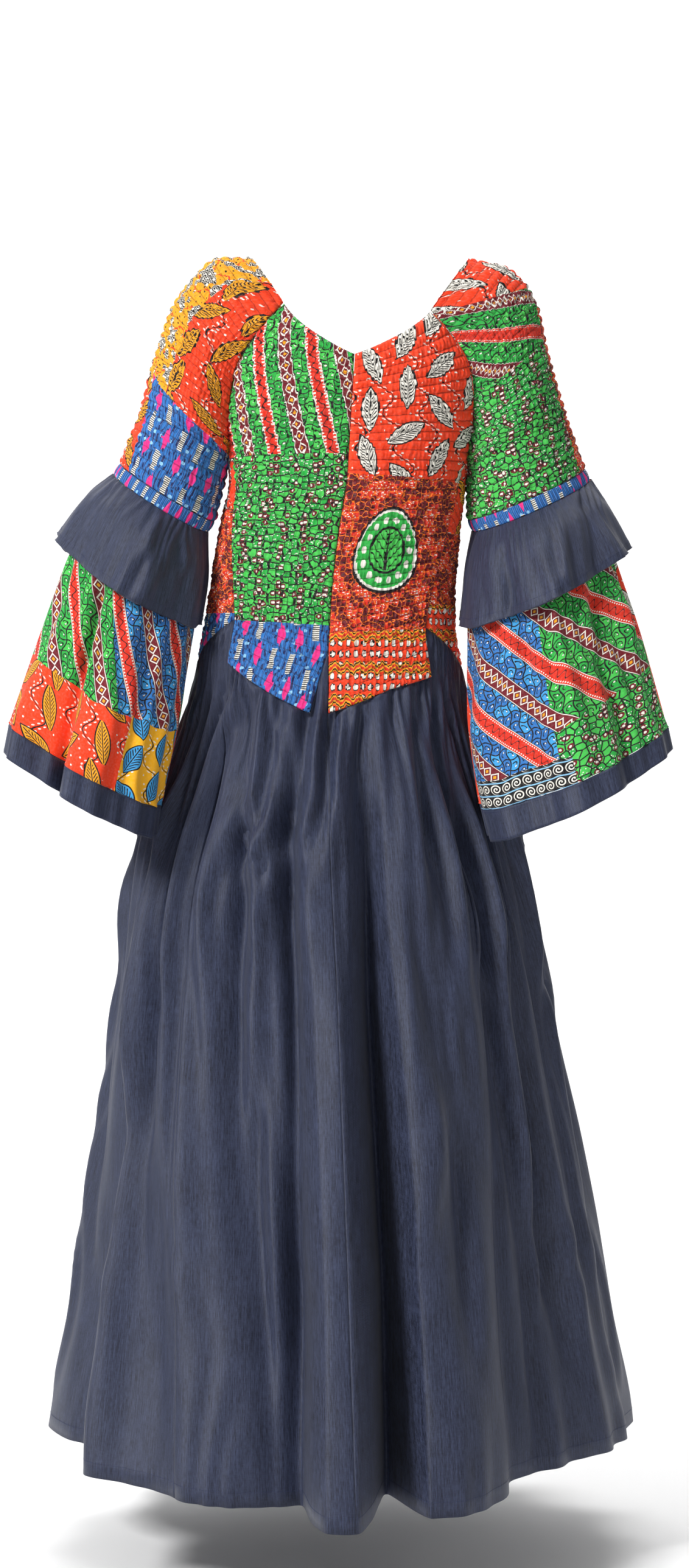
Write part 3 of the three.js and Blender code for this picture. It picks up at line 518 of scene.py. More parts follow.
def shell(name, outer, inner, uv, material, closed_to=-1, skip=(4, 4), elastic=None):
    """One closed body of cloth between an outer grid and a coarser inner one. Rows rise, and
    columns run anticlockwise seen from above. uv is in mm and gives the print its place, and
    elastic counts the rows of elastic thread up the piece."""
    rows, columns = outer.shape[:2]
    some_rows = picked(rows, skip[0], (closed_to,) if closed_to < rows - 1 else ())
    some_columns = picked(columns, skip[1])
    some = np.ix_(some_rows, some_columns)
    few = inner[some]
    points = np.concatenate([outer.reshape(-1, 3), few.reshape(-1, 3)]) * MM
    outer_id = np.arange(rows * columns).reshape(rows, columns)
    inner_id = rows * columns + np.arange(few.shape[0] * few.shape[1]).reshape(few.shape[:2])
    joined = np.arange(len(points))
    if closed_to >= 0:
        joined[outer_id[:closed_to + 1, -1]] = outer_id[:closed_to + 1, 0]
        inner_closed = int(np.searchsorted(some_rows, closed_to))
        joined[inner_id[:inner_closed + 1, -1]] = inner_id[:inner_closed + 1, 0]

    def faces_of(ids):
        corners = ids[:-1, :-1], ids[:-1, 1:], ids[1:, 1:], ids[1:, :-1]
        return np.stack([corner.ravel() for corner in corners], 1)

    quads = np.concatenate([faces_of(outer_id), faces_of(inner_id)[:, ::-1]])
    at_rows, at_columns = np.arange(rows) / (rows - 1), np.arange(columns) / (columns - 1)
    few_rows, few_columns = some_rows / (rows - 1), some_columns / (columns - 1)
    edges = [
        (outer_id[0, ::-1], 1 - at_columns[::-1], inner_id[0, ::-1], 1 - few_columns[::-1]),
        (outer_id[-1], at_columns, inner_id[-1], few_columns),
    ]
    if closed_to < rows - 1:
        start = max(closed_to, 0)
        few_start = int(np.searchsorted(some_rows, start))
        rise, few_rise = at_rows[start:], few_rows[few_start:]
        edges += [
            (outer_id[start:, 0], rise, inner_id[few_start:, 0], few_rise),
            (outer_id[start:, -1][::-1], 1 - rise[::-1], inner_id[few_start:, -1][::-1], 1 - few_rise[::-1]),
        ]
    rims, rim_places = [], []
    for edge in edges:
        faces, places = zip_edges(*edge)
        rims += faces
        rim_places += places
    rims, rim_places = np.array(rims), np.array(rim_places)

    print_uv = np.concatenate([uv.reshape(-1, 2), uv[some].reshape(-1, 2)]) * MM
    spread = np.stack(np.meshgrid(at_columns, at_rows), -1)
    few_spread = np.stack(np.meshgrid(few_columns, few_rows), -1)
    bake_uv = np.concatenate([
        (spread * (0.98, 0.66) + (0.01, 0.33)).reshape(-1, 2),
        (few_spread * (0.98, 0.29) + (0.01, 0.01)).reshape(-1, 2),
    ])
    vertex_ids = np.concatenate([joined[quads].ravel(), joined[rims].ravel()])
    uv_ids = np.concatenate([quads.ravel(), rim_places.ravel()])
    used, vertex_ids = np.unique(vertex_ids, return_inverse=True)
    faces = len(quads) + len(rims)
    starts = np.concatenate([np.arange(len(quads)) * 4, len(quads) * 4 + np.arange(len(rims)) * 3])

    mesh = bpy.data.meshes.new(name + "_cloth")
    mesh.vertices.add(len(used))
    mesh.vertices.foreach_set("co", points[used].astype(np.float32).ravel())
    mesh.loops.add(len(vertex_ids))
    mesh.loops.foreach_set("vertex_index", vertex_ids.astype(np.int32))
    mesh.polygons.add(faces)
    mesh.polygons.foreach_set("loop_start", starts.astype(np.int32))
    mesh.polygons.foreach_set("use_smooth", np.ones(faces, dtype=bool))
    for layer, values in (("Print", print_uv), ("OFBake", bake_uv)):
        uv_layer = mesh.uv_layers.new(name=layer)
        uv_layer.data.foreach_set("uv", values[uv_ids].astype(np.float32).ravel())
    mesh.update(calc_edges=True)
    if mesh.validate():
        raise RuntimeError(name + " has faces that don't fit together")
    if elastic is not None:
        count = np.broadcast_to(elastic, outer.shape[:2])
        counts = np.concatenate([count.ravel(), count[some].ravel()])
        layer = mesh.attributes.new("elastic_rows", "FLOAT", "POINT")
        layer.data.foreach_set("value", counts[used].astype(np.float32))
    mesh.materials.append(material)
    return put_in_scene(name + "_cloth", mesh)


def stitches(name, path, out, sizes, material):
    """A row of small thread stitches along a path that lies on cloth."""
    steps = np.linalg.norm(np.diff(path, axis=0), axis=1)
    at = np.concatenate([[0], np.cumsum(steps)])
    count = int(at[-1] / (sizes.stitch_length / MM * 1.5))
    centre_at = (np.arange(count) + 0.5) * at[-1] / count
    half = sizes.stitch_length / MM / 2

    def along(values, place):
        return np.stack([np.interp(place, at, values[:, k]) for k in range(3)], 1)

    middle, normal = along(path, centre_at), along(out, centre_at)
    start, end = along(path, centre_at - half), along(path, centre_at + half)
    forward = (end - start) / 2
    beside = np.cross(normal, forward)
    beside /= np.linalg.norm(beside, axis=1, keepdims=True)
    corners = []
    for lift, narrow in ((-0.2, 1.0), (0.3, 0.75)):
        for onward, side in ((-1, -1), (1, -1), (1, 1), (-1, 1)):
            corners.append(middle + forward * onward * narrow + beside * side * THREAD_HALF * narrow
                           + normal * lift)
    points = np.stack(corners, 1).reshape(-1, 3) * MM
    box = [(0, 3, 2, 1), (4, 5, 6, 7), (0, 1, 5, 4), (1, 2, 6, 5), (2, 3, 7, 6), (3, 0, 4, 7)]
    faces = [tuple(8 * n + k for k in face) for n in range(count) for face in box]
    mesh = bpy.data.meshes.new(name)
    mesh.from_pydata([tuple(p) for p in points], [], faces)
    mesh.materials.append(material)
    piece = put_in_scene(name, mesh)
    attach(piece, "root")
    return piece


def settle(piece, node):
    """Hangs the piece on the root body and hides the CAD part that it stands for."""
    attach(piece, "root")
    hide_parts(node)


# Materials

def paint(text):
    """Linear colour of a web colour."""
    parts = [int(text[k:k + 2], 16) / 255 for k in (1, 3, 5)]
    return tuple(p / 12.92 if p <= 0.04045 else ((p + 0.055) / 1.055) ** 2.4 for p in parts)


class Value:
    """A number in a node tree that can stand in sums."""

    def __init__(self, net, socket):
        self.net, self.socket = net, socket

    def __add__(self, other):
        return self.net.math("ADD", self, other)

    def __sub__(self, other):
        return self.net.math("SUBTRACT", self, other)

    def __mul__(self, other):
        return self.net.math("MULTIPLY", self, other)

    def __truediv__(self, other):
        return self.net.math("DIVIDE", self, other)

    def __gt__(self, other):
        return self.net.math("GREATER_THAN", self, other)

    def __lt__(self, other):
        return self.net.math("LESS_THAN", self, other)

    __radd__ = __add__
    __rmul__ = __mul__


class Net:
    """Makes and joins the nodes of one node tree."""

    def __init__(self, tree):
        self.tree = tree

    def node(self, kind, **settings):
        node = self.tree.nodes.new(kind)
        for key, value in settings.items():
            setattr(node, key, value)
        count = len(self.tree.nodes)
        node.location = (180 * (count // 10), -170 * (count % 10))
        return node

    def feed(self, socket, value):
        if isinstance(value, Value):
            self.tree.links.new(value.socket, socket)
        elif isinstance(value, bpy.types.NodeSocket):
            self.tree.links.new(value, socket)
        elif isinstance(value, (tuple, list)):
            socket.default_value = (*value, 1.0) if len(value) == 3 else value
        else:
            socket.default_value = value

    def math(self, operation, *values):
        node = self.node("ShaderNodeMath", operation=operation)
        for socket, value in zip(node.inputs, values):
            self.feed(socket, value)
        return Value(self, node.outputs[0])

    def size(self, value):
        return self.math("ABSOLUTE", value)

    def sine(self, value):
        return self.math("SINE", value)

    def part(self, value):
        return self.math("FRACT", value)

    def whole(self, value):
        return self.math("FLOOR", value)

    def most(self, *values):
        result = values[0]
        for value in values[1:]:
            result = self.math("MAXIMUM", result, value)
        return result

    def least(self, *values):
        result = values[0]
        for value in values[1:]:
            result = self.math("MINIMUM", result, value)
        return result

    def within(self, value):
        """The value held between 0 and 1."""
        return self.least(self.most(value, 0.0), 1.0)

    def far(self, x, y):
        return self.math("SQRT", x * x + y * y)

    def near(self, value, place, reach):
        """1 where the value lies within reach of the place."""
        return self.math("COMPARE", value, place, reach)

    def blend(self, first, second, factor):
        node = self.node("ShaderNodeMix", data_type="RGBA")
        self.feed(node.inputs["Factor"], factor)
        self.feed(node.inputs[6], first)
        self.feed(node.inputs[7], second)
        return node.outputs[2]

    def pair(self, x, y):
        node = self.node("ShaderNodeCombineXYZ")
        self.feed(node.inputs[0], x)
        self.feed(node.inputs[1], y)
        return node.outputs[0]

    def split(self, vector, index):
        node = self.node("ShaderNodeSeparateXYZ")
        self.feed(node.inputs[0], vector)
        return node.outputs[index]

    def cells(self, x, y, feature, uneven=1.0):
        node = self.node("ShaderNodeTexVoronoi", voronoi_dimensions="2D", feature=feature)
        self.feed(node.inputs["Vector"], self.pair(x, y))
        node.inputs["Scale"].default_value = 1.0
        node.inputs["Randomness"].default_value = uneven
        return node

    def noise(self, x, y, detail=2.0):
        node = self.node("ShaderNodeTexNoise", noise_dimensions="2D")
        self.feed(node.inputs["Vector"], self.pair(x, y))
        node.inputs["Scale"].default_value = 1.0
        node.inputs["Detail"].default_value = detail
        return Value(self, node.outputs["Fac"])

    def chance(self, x, y):
        node = self.node("ShaderNodeTexWhiteNoise", noise_dimensions="2D")
        self.feed(node.inputs["Vector"], self.pair(x, y))
        return Value(self, node.outputs["Value"])


def centred(net, value, step):
    """Place within a repeat, in mm from its middle."""
    return (net.part(value / step) - 0.5) * step


def scroll_grid(net, u, v, c, ground, second):
    """Curved dark grid with curls and pale specks."""
    bent_u = u + net.sine(v * (TAU / 27)) * 1.9
    bent_v = v + net.sine(u * (TAU / 21)) * 1.9
    x, y = centred(net, bent_u, 10.5), centred(net, bent_v, 13)
    odd = net.chance(net.whole(bent_u / 10.5), net.whole(bent_v / 13))
    lines = net.most(net.size(x) - 4.45, net.size(y) - 5.75) > 0
    ring = net.far(x + (odd - 0.5) * 2, y)
    curl = net.near(ring, 2.7, 0.6) * ((x * (odd - 0.5) + y * 0.4) > -0.9)
    speck = net.far(x - 1.2, y + (odd - 0.5) * 5) < 0.95
    colour = net.blend(c[ground], c[second], odd > 0.66)
    colour = net.blend(colour, c["ink"], net.most(lines, curl))
    return net.blend(colour, c["white"], speck)


def bands(net, u, v, c, below, lean, spacing, width):
    """Slanting bands over another print: white diamonds on maroon, and waves on orange-red."""
    run = (u + v * lean) / spacing
    x = (net.part(run) - 0.5) * spacing
    half = width / 2
    other = net.part(net.whole(run) / 2) > 0.25
    y = centred(net, v - u * lean, 15)
    diamond = net.size(x) / (half * 0.62) + net.size(y) / 6.4
    first = net.blend(c["maroon"], c["white"], net.near(diamond, 1, 0.17))
    first = net.blend(first, c["gold"], diamond < 0.42)
    wave = net.near(x - net.sine((v - u * lean) * (TAU / 15)) * (half * 0.36), 0, 0.95)
    dots = net.far(net.size(x) - half * 0.72, centred(net, v - u * lean, 4.2)) < 1.15
    second = net.blend(c["red"], c["ink"], wave)
    second = net.blend(second, c["white"], dots)
    inside = net.blend(first, second, other)
    inside = net.blend(inside, c["white"], net.near(net.size(x), half - 0.55, 0.6))
    inside = net.blend(inside, c["ink"], net.size(x) > half - 0.1)
    return net.blend(below, inside, net.size(x) < half + 0.7)


def pebbles(net, u, v, c):
    """Rounded cells with dark outlines, with columns of maroon spots with white centres."""
    edge = Value(net, net.cells(u / 8.5, v / 8.5, "DISTANCE_TO_EDGE", 0.8).outputs["Distance"])
    cell = net.cells(u / 8.5, v / 8.5, "F1", 0.8)
    middle = Value(net, cell.outputs["Distance"])
    place = [Value(net, net.split(cell.outputs["Position"], k)) for k in (0, 1)]
    tone = net.chance(place[0] * 7.3, place[1] * 5.1)
    columned = net.size(net.part(place[0] / 3.0) - 0.5) < 0.27
    spotted = columned * (tone > 0.22)
    colour = net.blend(c["green"], c["leaf"], tone > 0.55)
    colour = net.blend(colour, c["maroon"], (middle < 0.4) * spotted)
    colour = net.blend(colour, c["white"], (middle < 0.17) * spotted)
    flecks = net.cells(u / 4.1, v / 4.1, "F1")
    fleck = Value(net, flecks.outputs["Distance"]) < 0.17
    colour = net.blend(colour, c["white"], fleck * (tone < 0.6))
    return net.blend(colour, c["ink"], edge < 0.085)


def leaves(net, u, v, c, ground="flame", leaf="white", repeat=(44, 54), length=25, width=9.5):
    """Outlined leaves at uneven angles, with vines and dots between them."""
    column = net.whole(u / repeat[0])
    shifted = v + net.part(column / 2) * repeat[1]
    row = net.whole(shifted / repeat[1])
    x, y = centred(net, u, repeat[0]), centred(net, shifted, repeat[1])
    angle = net.chance(column, row) * 2.2 + 0.5
    cosine, sine = net.math("COSINE", angle), net.sine(angle)
    along_leaf, over = x * cosine + y * sine, y * cosine - x * sine
    edge = along_leaf / length
    body = (edge * edge * -1.0 + 1.0) * width - net.size(over)
    ribs = net.part((along_leaf - net.size(over) * 1.4) / 4.4) < 0.42
    path = centred(net, v * 0.35 + u + net.sine(v * (TAU / 41)) * 9, repeat[0])
    vine = net.near(path, 0, 0.9)
    beads = net.far(centred(net, v, 5.2), net.size(path) - 3.6) < 1.25
    speck = net.far(centred(net, u + v * 0.4, 13), centred(net, v - u * 0.3, 11)) < 1.2
    colour = net.blend(c[ground], c["white"], speck * (net.noise(u / 20, v / 20, 1.0) > 0.5))
    colour = net.blend(colour, c["ink"], vine)
    colour = net.blend(colour, c["white"], beads)
    colour = net.blend(colour, c["ink"], body > -1.7)
    colour = net.blend(colour, c[leaf], body > 0)
    inner = net.blend(colour, c["ink"], net.most(ribs * (net.size(over) > 1.5), net.size(over) < 0.6))
    return net.blend(colour, inner, body > 1.6)


def crackle(net, u, v, c):
    """Dark red and orange-red mottle with fine cracks and pale speckle."""
    cracks = Value(net, net.cells(u / 6.5, v / 7.5, "DISTANCE_TO_EDGE").outputs["Distance"])
    grains = net.cells(u / 3.4, v / 3.4, "F1")
    grain = Value(net, grains.outputs["Distance"])
    cloud = net.noise(u / 17, v / 17, 3)
    colour = net.blend(c["maroon"], c["red"], cloud > 0.5)
    colour = net.blend(colour, c["orange"], cracks < 0.06)
    colour = net.blend(colour, c["ink"], (grain < 0.2) * (cloud < 0.47))
    return net.blend(colour, c["white"], (grain < 0.2) * (cloud > 0.55))


def medallion(net, u, v, c, below, at, reach):
    """A rounded leaf of nested outlines, set once over another print."""
    x, y = (u - at[0]) / reach[0], (v - at[1]) / reach[1]
    pinch = y * 0.22 + 1.0
    r = net.far(x * pinch, y)
    petals = net.math("ARCTAN2", x, y) * (14 / TAU)
    bead = net.far(net.part(petals) - 0.5, (r - 0.74) * 3.2) < 0.27
    colour = net.blend(below, c["ink"], r < 1.06)
    colour = net.blend(colour, c["white"], r < 0.99)
    colour = net.blend(colour, c["green"], r < 0.93)
    colour = net.blend(colour, c["white"], bead)
    colour = net.blend(colour, c["ink"], r < 0.58)
    colour = net.blend(colour, c["leaf"], r < 0.52)
    rib = net.near(x, 0, 0.035) + net.near(net.part((y - net.size(x)) * 4.5), 0.5, 0.1)
    return net.blend(colour, c["ink"], (r < 0.5) * net.least(rib, 1.0))


def stripes(net, u, v, c):
    """Fine blue and navy stripes with pink lozenges, dots and barred strips."""
    wander = net.sine(v * (TAU / 47)) * 1.2
    fine = net.part((u + wander) / 2.9) < 0.36
    colour = net.blend(c["blue"], c["navy"], fine)
    column = net.whole(u / 23)
    rise = v + net.chance(column, 3.0) * 60
    a, b = centred(net, u, 23), centred(net, rise, 58)
    lozenge = net.size(a) / 5.2 + net.size(b) / 15
    colour = net.blend(colour, c["pink"], lozenge < 1)
    dot = net.far(centred(net, u + 11.5, 11.5), centred(net, v + 5, 14.5))
    spot = net.chance(net.whole((u + 11.5) / 11.5), net.whole((v + 5) / 14.5)) > 0.55
    colour = net.blend(colour, c["sky"], (dot < 2.1) * (lozenge > 1.2) * spot)
    far_b = centred(net, rise + 29, 58)
    strip = (net.size(far_b) < 12) * (net.size(a + 4) < 3.4)
    bars = net.blend(c["white"], c["ink"], net.part(v / 2.4) < 0.45)
    return net.blend(colour, bars, strip)


def zigzag(net, u, v, c):
    """Orange with white ovals, dark zigzags and gold bands."""
    x, y = centred(net, u, 9.5), centred(net, v, 13)
    oval = net.far(x / 2.3, y / 3.6)
    colour = net.blend(c["flame"], c["ink"], oval < 1.35)
    colour = net.blend(colour, c["white"], oval < 1)
    line = centred(net, v + net.size(centred(net, u, 15)) * 0.9, 39)
    colour = net.blend(colour, c["gold"], net.size(line) < 6.5)
    colour = net.blend(colour, c["ink"], net.near(net.size(line), 4.6, 0.9))
    return net.blend(colour, c["red"], net.size(line) < 1.6)


def lattice(net, u, v, c):
    """Gold with patches of a black and white key pattern."""
    p, q = centred(net, (u + v) * 0.707, 7.5), centred(net, (u - v) * 0.707, 7.5)
    square = net.most(net.size(p), net.size(q))
    key = net.near(square, 2.1, 0.55) * net.least((p < 0) + (net.size(q) > 0.9), 1.0)
    keyed = net.blend(c["white"], c["ink"], net.most(key, square > 3.2))
    patch = net.noise(u / 15, v / 21, 1.0) > 0.53
    dots = net.far(centred(net, u, 6.5), centred(net, v + u * 0.5, 8)) < 1.0
    ground = net.blend(c["gold"], c["ink"], dots)
    vein = net.near(centred(net, v + net.sine(u * (TAU / 33)) * 7, 29), 0, 1.0)
    ground = net.blend(ground, c["flame"], vein)
    return net.blend(ground, keyed, patch)


def scroll_border(net, u, v, c):
    """White curls on a dark ground."""
    x, y = centred(net, u, 13), centred(net, v, 15)
    r = net.far(x, y)
    turn = net.math("ARCTAN2", y, x) / TAU
    spiral = net.part(r / 3.4 - turn)
    colour = net.blend(c["ink"], c["white"], (spiral < 0.42) * (r < 6.2))
    return net.blend(colour, c["sky"], net.near(net.size(y), 7.2, 0.45))


def print_group(name, draw, colours):
    """Node group that draws a print from its place on the cloth in mm."""
    tree = bpy.data.node_groups.new(name, "ShaderNodeTree")
    tree.interface.new_socket("Across", in_out="INPUT", socket_type="NodeSocketFloat")
    tree.interface.new_socket("Up", in_out="INPUT", socket_type="NodeSocketFloat")
    tree.interface.new_socket("Colour", in_out="OUTPUT", socket_type="NodeSocketColor")
    net = Net(tree)
    entry = net.node("NodeGroupInput")
    leave = net.node("NodeGroupOutput")
    across, up = (Value(net, socket) for socket in entry.outputs[:2])
    net.feed(leave.inputs[0], draw(net, across, up, colours))
    return tree


def banded(lean, spacing, width, ground="green", second="leaf"):
    """The print of scrolls with slanting bands over it."""
    def draw(net, u, v, c):
        return bands(net, u, v, c, scroll_grid(net, u, v, c, ground, second), lean, spacing, width)
    return draw


PRINTS = {
    "banded_back": banded(0.29, 35, 17),
    "banded_sleeve": banded(1.9, 88, 36),
    "banded_left_bell": banded(0.52, 47, 20),
    "blue_left_bell": banded(0.52, 47, 20, "blue", "azure"),
    "banded_right_bell": banded(0.95, 62, 27),
    "blue_right_bell": banded(0.95, 62, 27, "blue", "azure"),
    "pebbles": pebbles,
    "white_leaves": leaves,
    "gold_leaves": lambda n, u, v, c: leaves(n, u, v, c, "flame", "gold", (50, 47), 26, 8.5),
    "yellow_leaves": lambda n, u, v, c: leaves(n, u, v, c, "yellow", "azure", (40, 44), 19, 10),
    "crackle": crackle,
    "medallion": lambda n, u, v, c: medallion(n, u, v, c, crackle(n, u, v, c), (60, -352), (37, 48)),
    "stripes": stripes,
    "zigzag": zigzag,
    "lattice": lattice,
    "scroll_border": scroll_border,
}

# Patches of print on each piece, the first one over all of it. Each later one lies where
# a + b * across + c * up, in mm, is over 0 for all of its lines.
PATCHES = {
    "bodice_back_left": [
        ("pebbles",),
        ("banded_back", (240, 0, 1)),
        ("stripes", (-441, -0.06, -1)),
    ],
    "bodice_back_right": [
        ("medallion",),
        ("white_leaves", (263, 0.05, 1)),
        ("zigzag", (-450, 0.05, -1)),
    ],
    "bodice_front_left": [
        ("crackle",),
        ("white_leaves", (262, -0.05, 1)),
        ("zigzag", (-446, 0, -1)),
    ],
    "bodice_front_right": [
        ("pebbles",),
        ("banded_back", (243, 0, 1)),
        ("stripes", (-440, 0, -1)),
    ],
    "bodice_side_left": [
        ("white_leaves",),
        ("crackle", (-300, 0, -1)),
        ("stripes", (-425, 0, -1)),
    ],
    "bodice_side_right": [
        ("crackle",),
        ("gold_leaves", (330, 0, 1)),
        ("zigzag", (-415, 0, -1)),
    ],
    "upper_sleeve_left": [
        ("gold_leaves",),
        ("lattice", (66, -1, 0), (-118, 0.3, 1)),
        ("stripes", (128, -0.25, -1), (-44, 1, 0.1)),
    ],
    "upper_sleeve_right": [
        ("pebbles",),
        ("banded_sleeve", (-165, 0, 1)),
        ("white_leaves", (-222, 0.45, 1)),
        ("crackle", (34, 1, -0.05), (205, 0, -1)),
    ],
    "sleeve_band_left": [("stripes",)],
    "sleeve_band_right": [("stripes",)],
    "sleeve_bell_left": [
        ("banded_left_bell",),
        ("blue_left_bell", (-215, 1, 0.35)),
        ("gold_leaves", (88, 0, -1)),
        ("yellow_leaves", (-205, 1, 0), (92, 0, -1)),
    ],
    "sleeve_bell_right": [
        ("banded_right_bell",),
        ("pebbles", (84, 0.1, -1)),
        ("blue_right_bell", (-172, -1, 0)),
        ("scroll_border", (-160, -1, 0), (34, 0, -1)),
        ("white_leaves", (22, 1, 0)),
    ],
}


# Linear colours of faded cotton, and of a row of elastic thread: partly its dark thread, partly painted
# shade in the pinched row
FADED_COTTON = (0.9, 0.87, 0.8)
ELASTIC_THREAD_AND_SHADE = (0.012, 0.008, 0.006)


def cloth_shader(net, colour, roughness, sheen, bump_height, weave, gloss=0.25):
    """Cloth: its colour with a soft sheen and a fine weave."""
    shader = net.tree.nodes["Principled BSDF"]
    net.feed(shader.inputs["Base Color"], colour)
    shader.inputs["Roughness"].default_value = roughness
    shader.inputs["Sheen Weight"].default_value = sheen
    shader.inputs["Sheen Roughness"].default_value = 0.45
    shader.inputs["Specular IOR Level"].default_value = gloss
    bump = net.node("ShaderNodeBump")
    bump.inputs["Strength"].default_value = 0.35
    bump.inputs["Distance"].default_value = bump_height
    net.feed(bump.inputs["Height"], weave)
    net.feed(shader.inputs["Normal"], bump.outputs[0])


def new_material(name):
    material = bpy.data.materials.new(name)
    material.use_nodes = True
    net = Net(material.node_tree)
    node = net.node("ShaderNodeUVMap", uv_map="Print")
    across = Value(net, net.split(node.outputs[0], 0)) / MM
    up = Value(net, net.split(node.outputs[0], 1)) / MM
    return material, net, across, up


def print_material(name, groups):
    """Wax print cotton with the patches of one piece."""
    material, net, u, v = new_material(name)
    colour = None
    for label, *lines in PATCHES[name]:
        group = net.node("ShaderNodeGroup", node_tree=groups[label])
        net.feed(group.inputs[0], u)
        net.feed(group.inputs[1], v)
        if colour is None:
            colour = group.outputs[0]
            continue
        inside = None
        for start, by_across, by_up in lines:
            line = (u * by_across + v * by_up + start) > 0
            inside = line if inside is None else inside * line
        colour = net.blend(colour, group.outputs[0], inside)
    fade = net.noise(u / 3, v / 3, 4)
    colour = net.blend(colour, FADED_COTTON, (fade - 0.42) * 0.16)
    if name.startswith(("bodice", "upper_sleeve")):
        # Dark line along each elastic row: partly the dark thread, partly painted shade where the row
        # pinches the cloth
        rows = Value(net, net.node("ShaderNodeAttribute", attribute_name="elastic_rows").outputs["Fac"])
        wander = (net.noise(u / 6, v / 6, 2) - 0.5) * 0.22
        pull = net.size(net.sine((rows + wander) * math.pi))
        colour = net.blend(colour, ELASTIC_THREAD_AND_SHADE, net.within(pull * -4 + 1.2) * 0.5)
    weave = net.sine(u * (TAU / 0.7)) + net.sine(v * (TAU / 0.7)) + net.noise(u * 2, v * 2) * 1.5
    cloth_shader(net, colour, 0.82, 0.08, 0.00012, weave)
    return material


def denim_material(colours):
    """Light denim: navy with pale, uneven warp threads."""
    material, net, u, v = new_material("denim_cloth")
    streaks = net.noise(u * 0.8, v * 0.03, 3)
    threads = net.noise(u * 2.1, v * 0.14, 2)
    slubs = net.noise(u * 0.14, v * 1.1, 2)
    cloud = net.noise(u / 60, v / 90, 3)
    tone = ((streaks - 0.5) * 1.3 + (threads - 0.5) * 1.3 + (slubs - 0.5) * 0.35
            + (cloud - 0.5) * 0.3 + 0.42)
    colour = net.blend(colours["denim"], colours["denim_pale"], net.within(tone))
    weave = net.sine((u + v) * (TAU / 1.1)) + net.noise(u * 2.2, v * 0.9) * 2
    cloth_shader(net, colour, 0.52, 0.1, 0.00018, weave, 0.4)
    return material


def thread_material(colours):
    material = bpy.data.materials.new("hem_thread")
    material.use_nodes = True
    shader = material.node_tree.nodes["Principled BSDF"]
    shader.inputs["Base Color"].default_value = (*colours["thread"], 1)
    shader.inputs["Roughness"].default_value = 0.6
    return material


def colours_of(context):
    """Linear colours of the scene's colour settings by their names."""
    settings = context.scene.dress_colours
    return {key: tuple(getattr(settings, key)) for key in settings.__annotations__}


def material_of(context, name):
    """The finished material for a piece, made when it is first asked for."""
    found = bpy.data.materials.get(name)
    if found:
        return found
    colours = colours_of(context)
    if name == "denim_cloth":
        return denim_material(colours)
    if name == "hem_thread":
        return thread_material(colours)
    labels = {patch[0] for patch in PATCHES[name]}
    groups = {}
    for label in sorted(labels):
        groups[label] = bpy.data.node_groups.get(label) or print_group(label, PRINTS[label], colours)
    return print_material(name, groups)


# Pieces

def bodice_piece(context, name, base, elastic, uv_start, flip, seed):
    """A smocked panel on its surface grid."""
    sizes = context.scene.dress_sizes
    draw_in(base, True, True)
    normals = normals_of(base)
    across = lengths_across(base, uv_start)
    inward = np.minimum(np.abs(across - across[:, :1]), np.abs(across - across[:, -1:]))
    edge = np.sqrt(np.clip(inward / SEAM_FADE, 0, 1))
    relief, shift = smocking(sizes, across, elastic, seed, edge)
    outer = base + normals * relief[..., None]
    inner = base - normals * SMOCKED_WALL
    uv = np.stack([flip * across + shift, base[..., 2] + 0 * across], axis=-1)
    piece = shell(name, outer, inner, uv, material_of(context, name), skip=(6, 5), elastic=elastic)
    settle(piece, name)


def main_panel(context, side, face, seed):
    """A back or front panel of the bodice, from its point at the waist to the neckline."""
    rows, columns = PANEL_GRID
    row = np.linspace(0, PANEL_ROWS, rows + 1)[:, None]
    part = np.linspace(0, 1, columns + 1)[None, :]
    from_side = part if (side == "left") == (face == "back") else 1 - part
    outer_edge = straight(PANEL_SIDE_EDGE, row)
    centre_edge = straight(LEFT_CENTRE_EDGE if side == "left" else RIGHT_CENTRE_EDGE, row)
    turn = mix(outer_edge[..., 0], centre_edge[..., 0], from_side)
    z = mix(outer_edge[..., 1], centre_edge[..., 1], from_side)
    if side == "right":
        low = np.maximum(0, 1 - row / WAIST_ROWS)
        z = z + low * straight(RIGHT_WAIST, from_side)[..., 0] - (1 - from_side) * RIGHT_DROP
        turn = 180 - turn
    base = body_point(turn if face == "back" else -turn, z)
    centre = columns if (side == "left") == (face == "back") else 0
    flip = 1 if face == "back" else -1
    bodice_piece(context, f"bodice_{face}_{side}", base, row / PANEL_ROWS * PANEL_ELASTIC, centre,
                 flip, seed)


def side_panel(context, side, seed):
    """A panel of the bodice under the arm."""
    rows, columns = SIDE_GRID
    row = np.linspace(0, SIDE_ROWS, rows + 1)[:, None]
    span = straight(SIDE_PANEL, row)
    from_middle = np.linspace(-1, 1, columns + 1)[None, :]
    z = mix(span[..., 2], span[..., 1], np.abs(from_middle))
    turn = from_middle * span[..., 0]
    if side == "right":
        turn, z = 180 + turn, z - RIGHT_DROP
    bodice_piece(context, f"bodice_side_{side}", body_point(turn, z),
                 row / SIDE_ROWS * SIDE_ELASTIC, columns // 2, 1, seed)


def armhole_ring(side):
    """Ring of the sleeve at the height of the underarm."""
    shoulder = CAPS[side][-1]
    underarm = raglan_point(np.array(1.0), True, side)
    out_x, out_z, _, depth = shoulder[1:]
    return np.array([out_x, out_z, underarm[0], underarm[2], 0, depth, depth, 0])


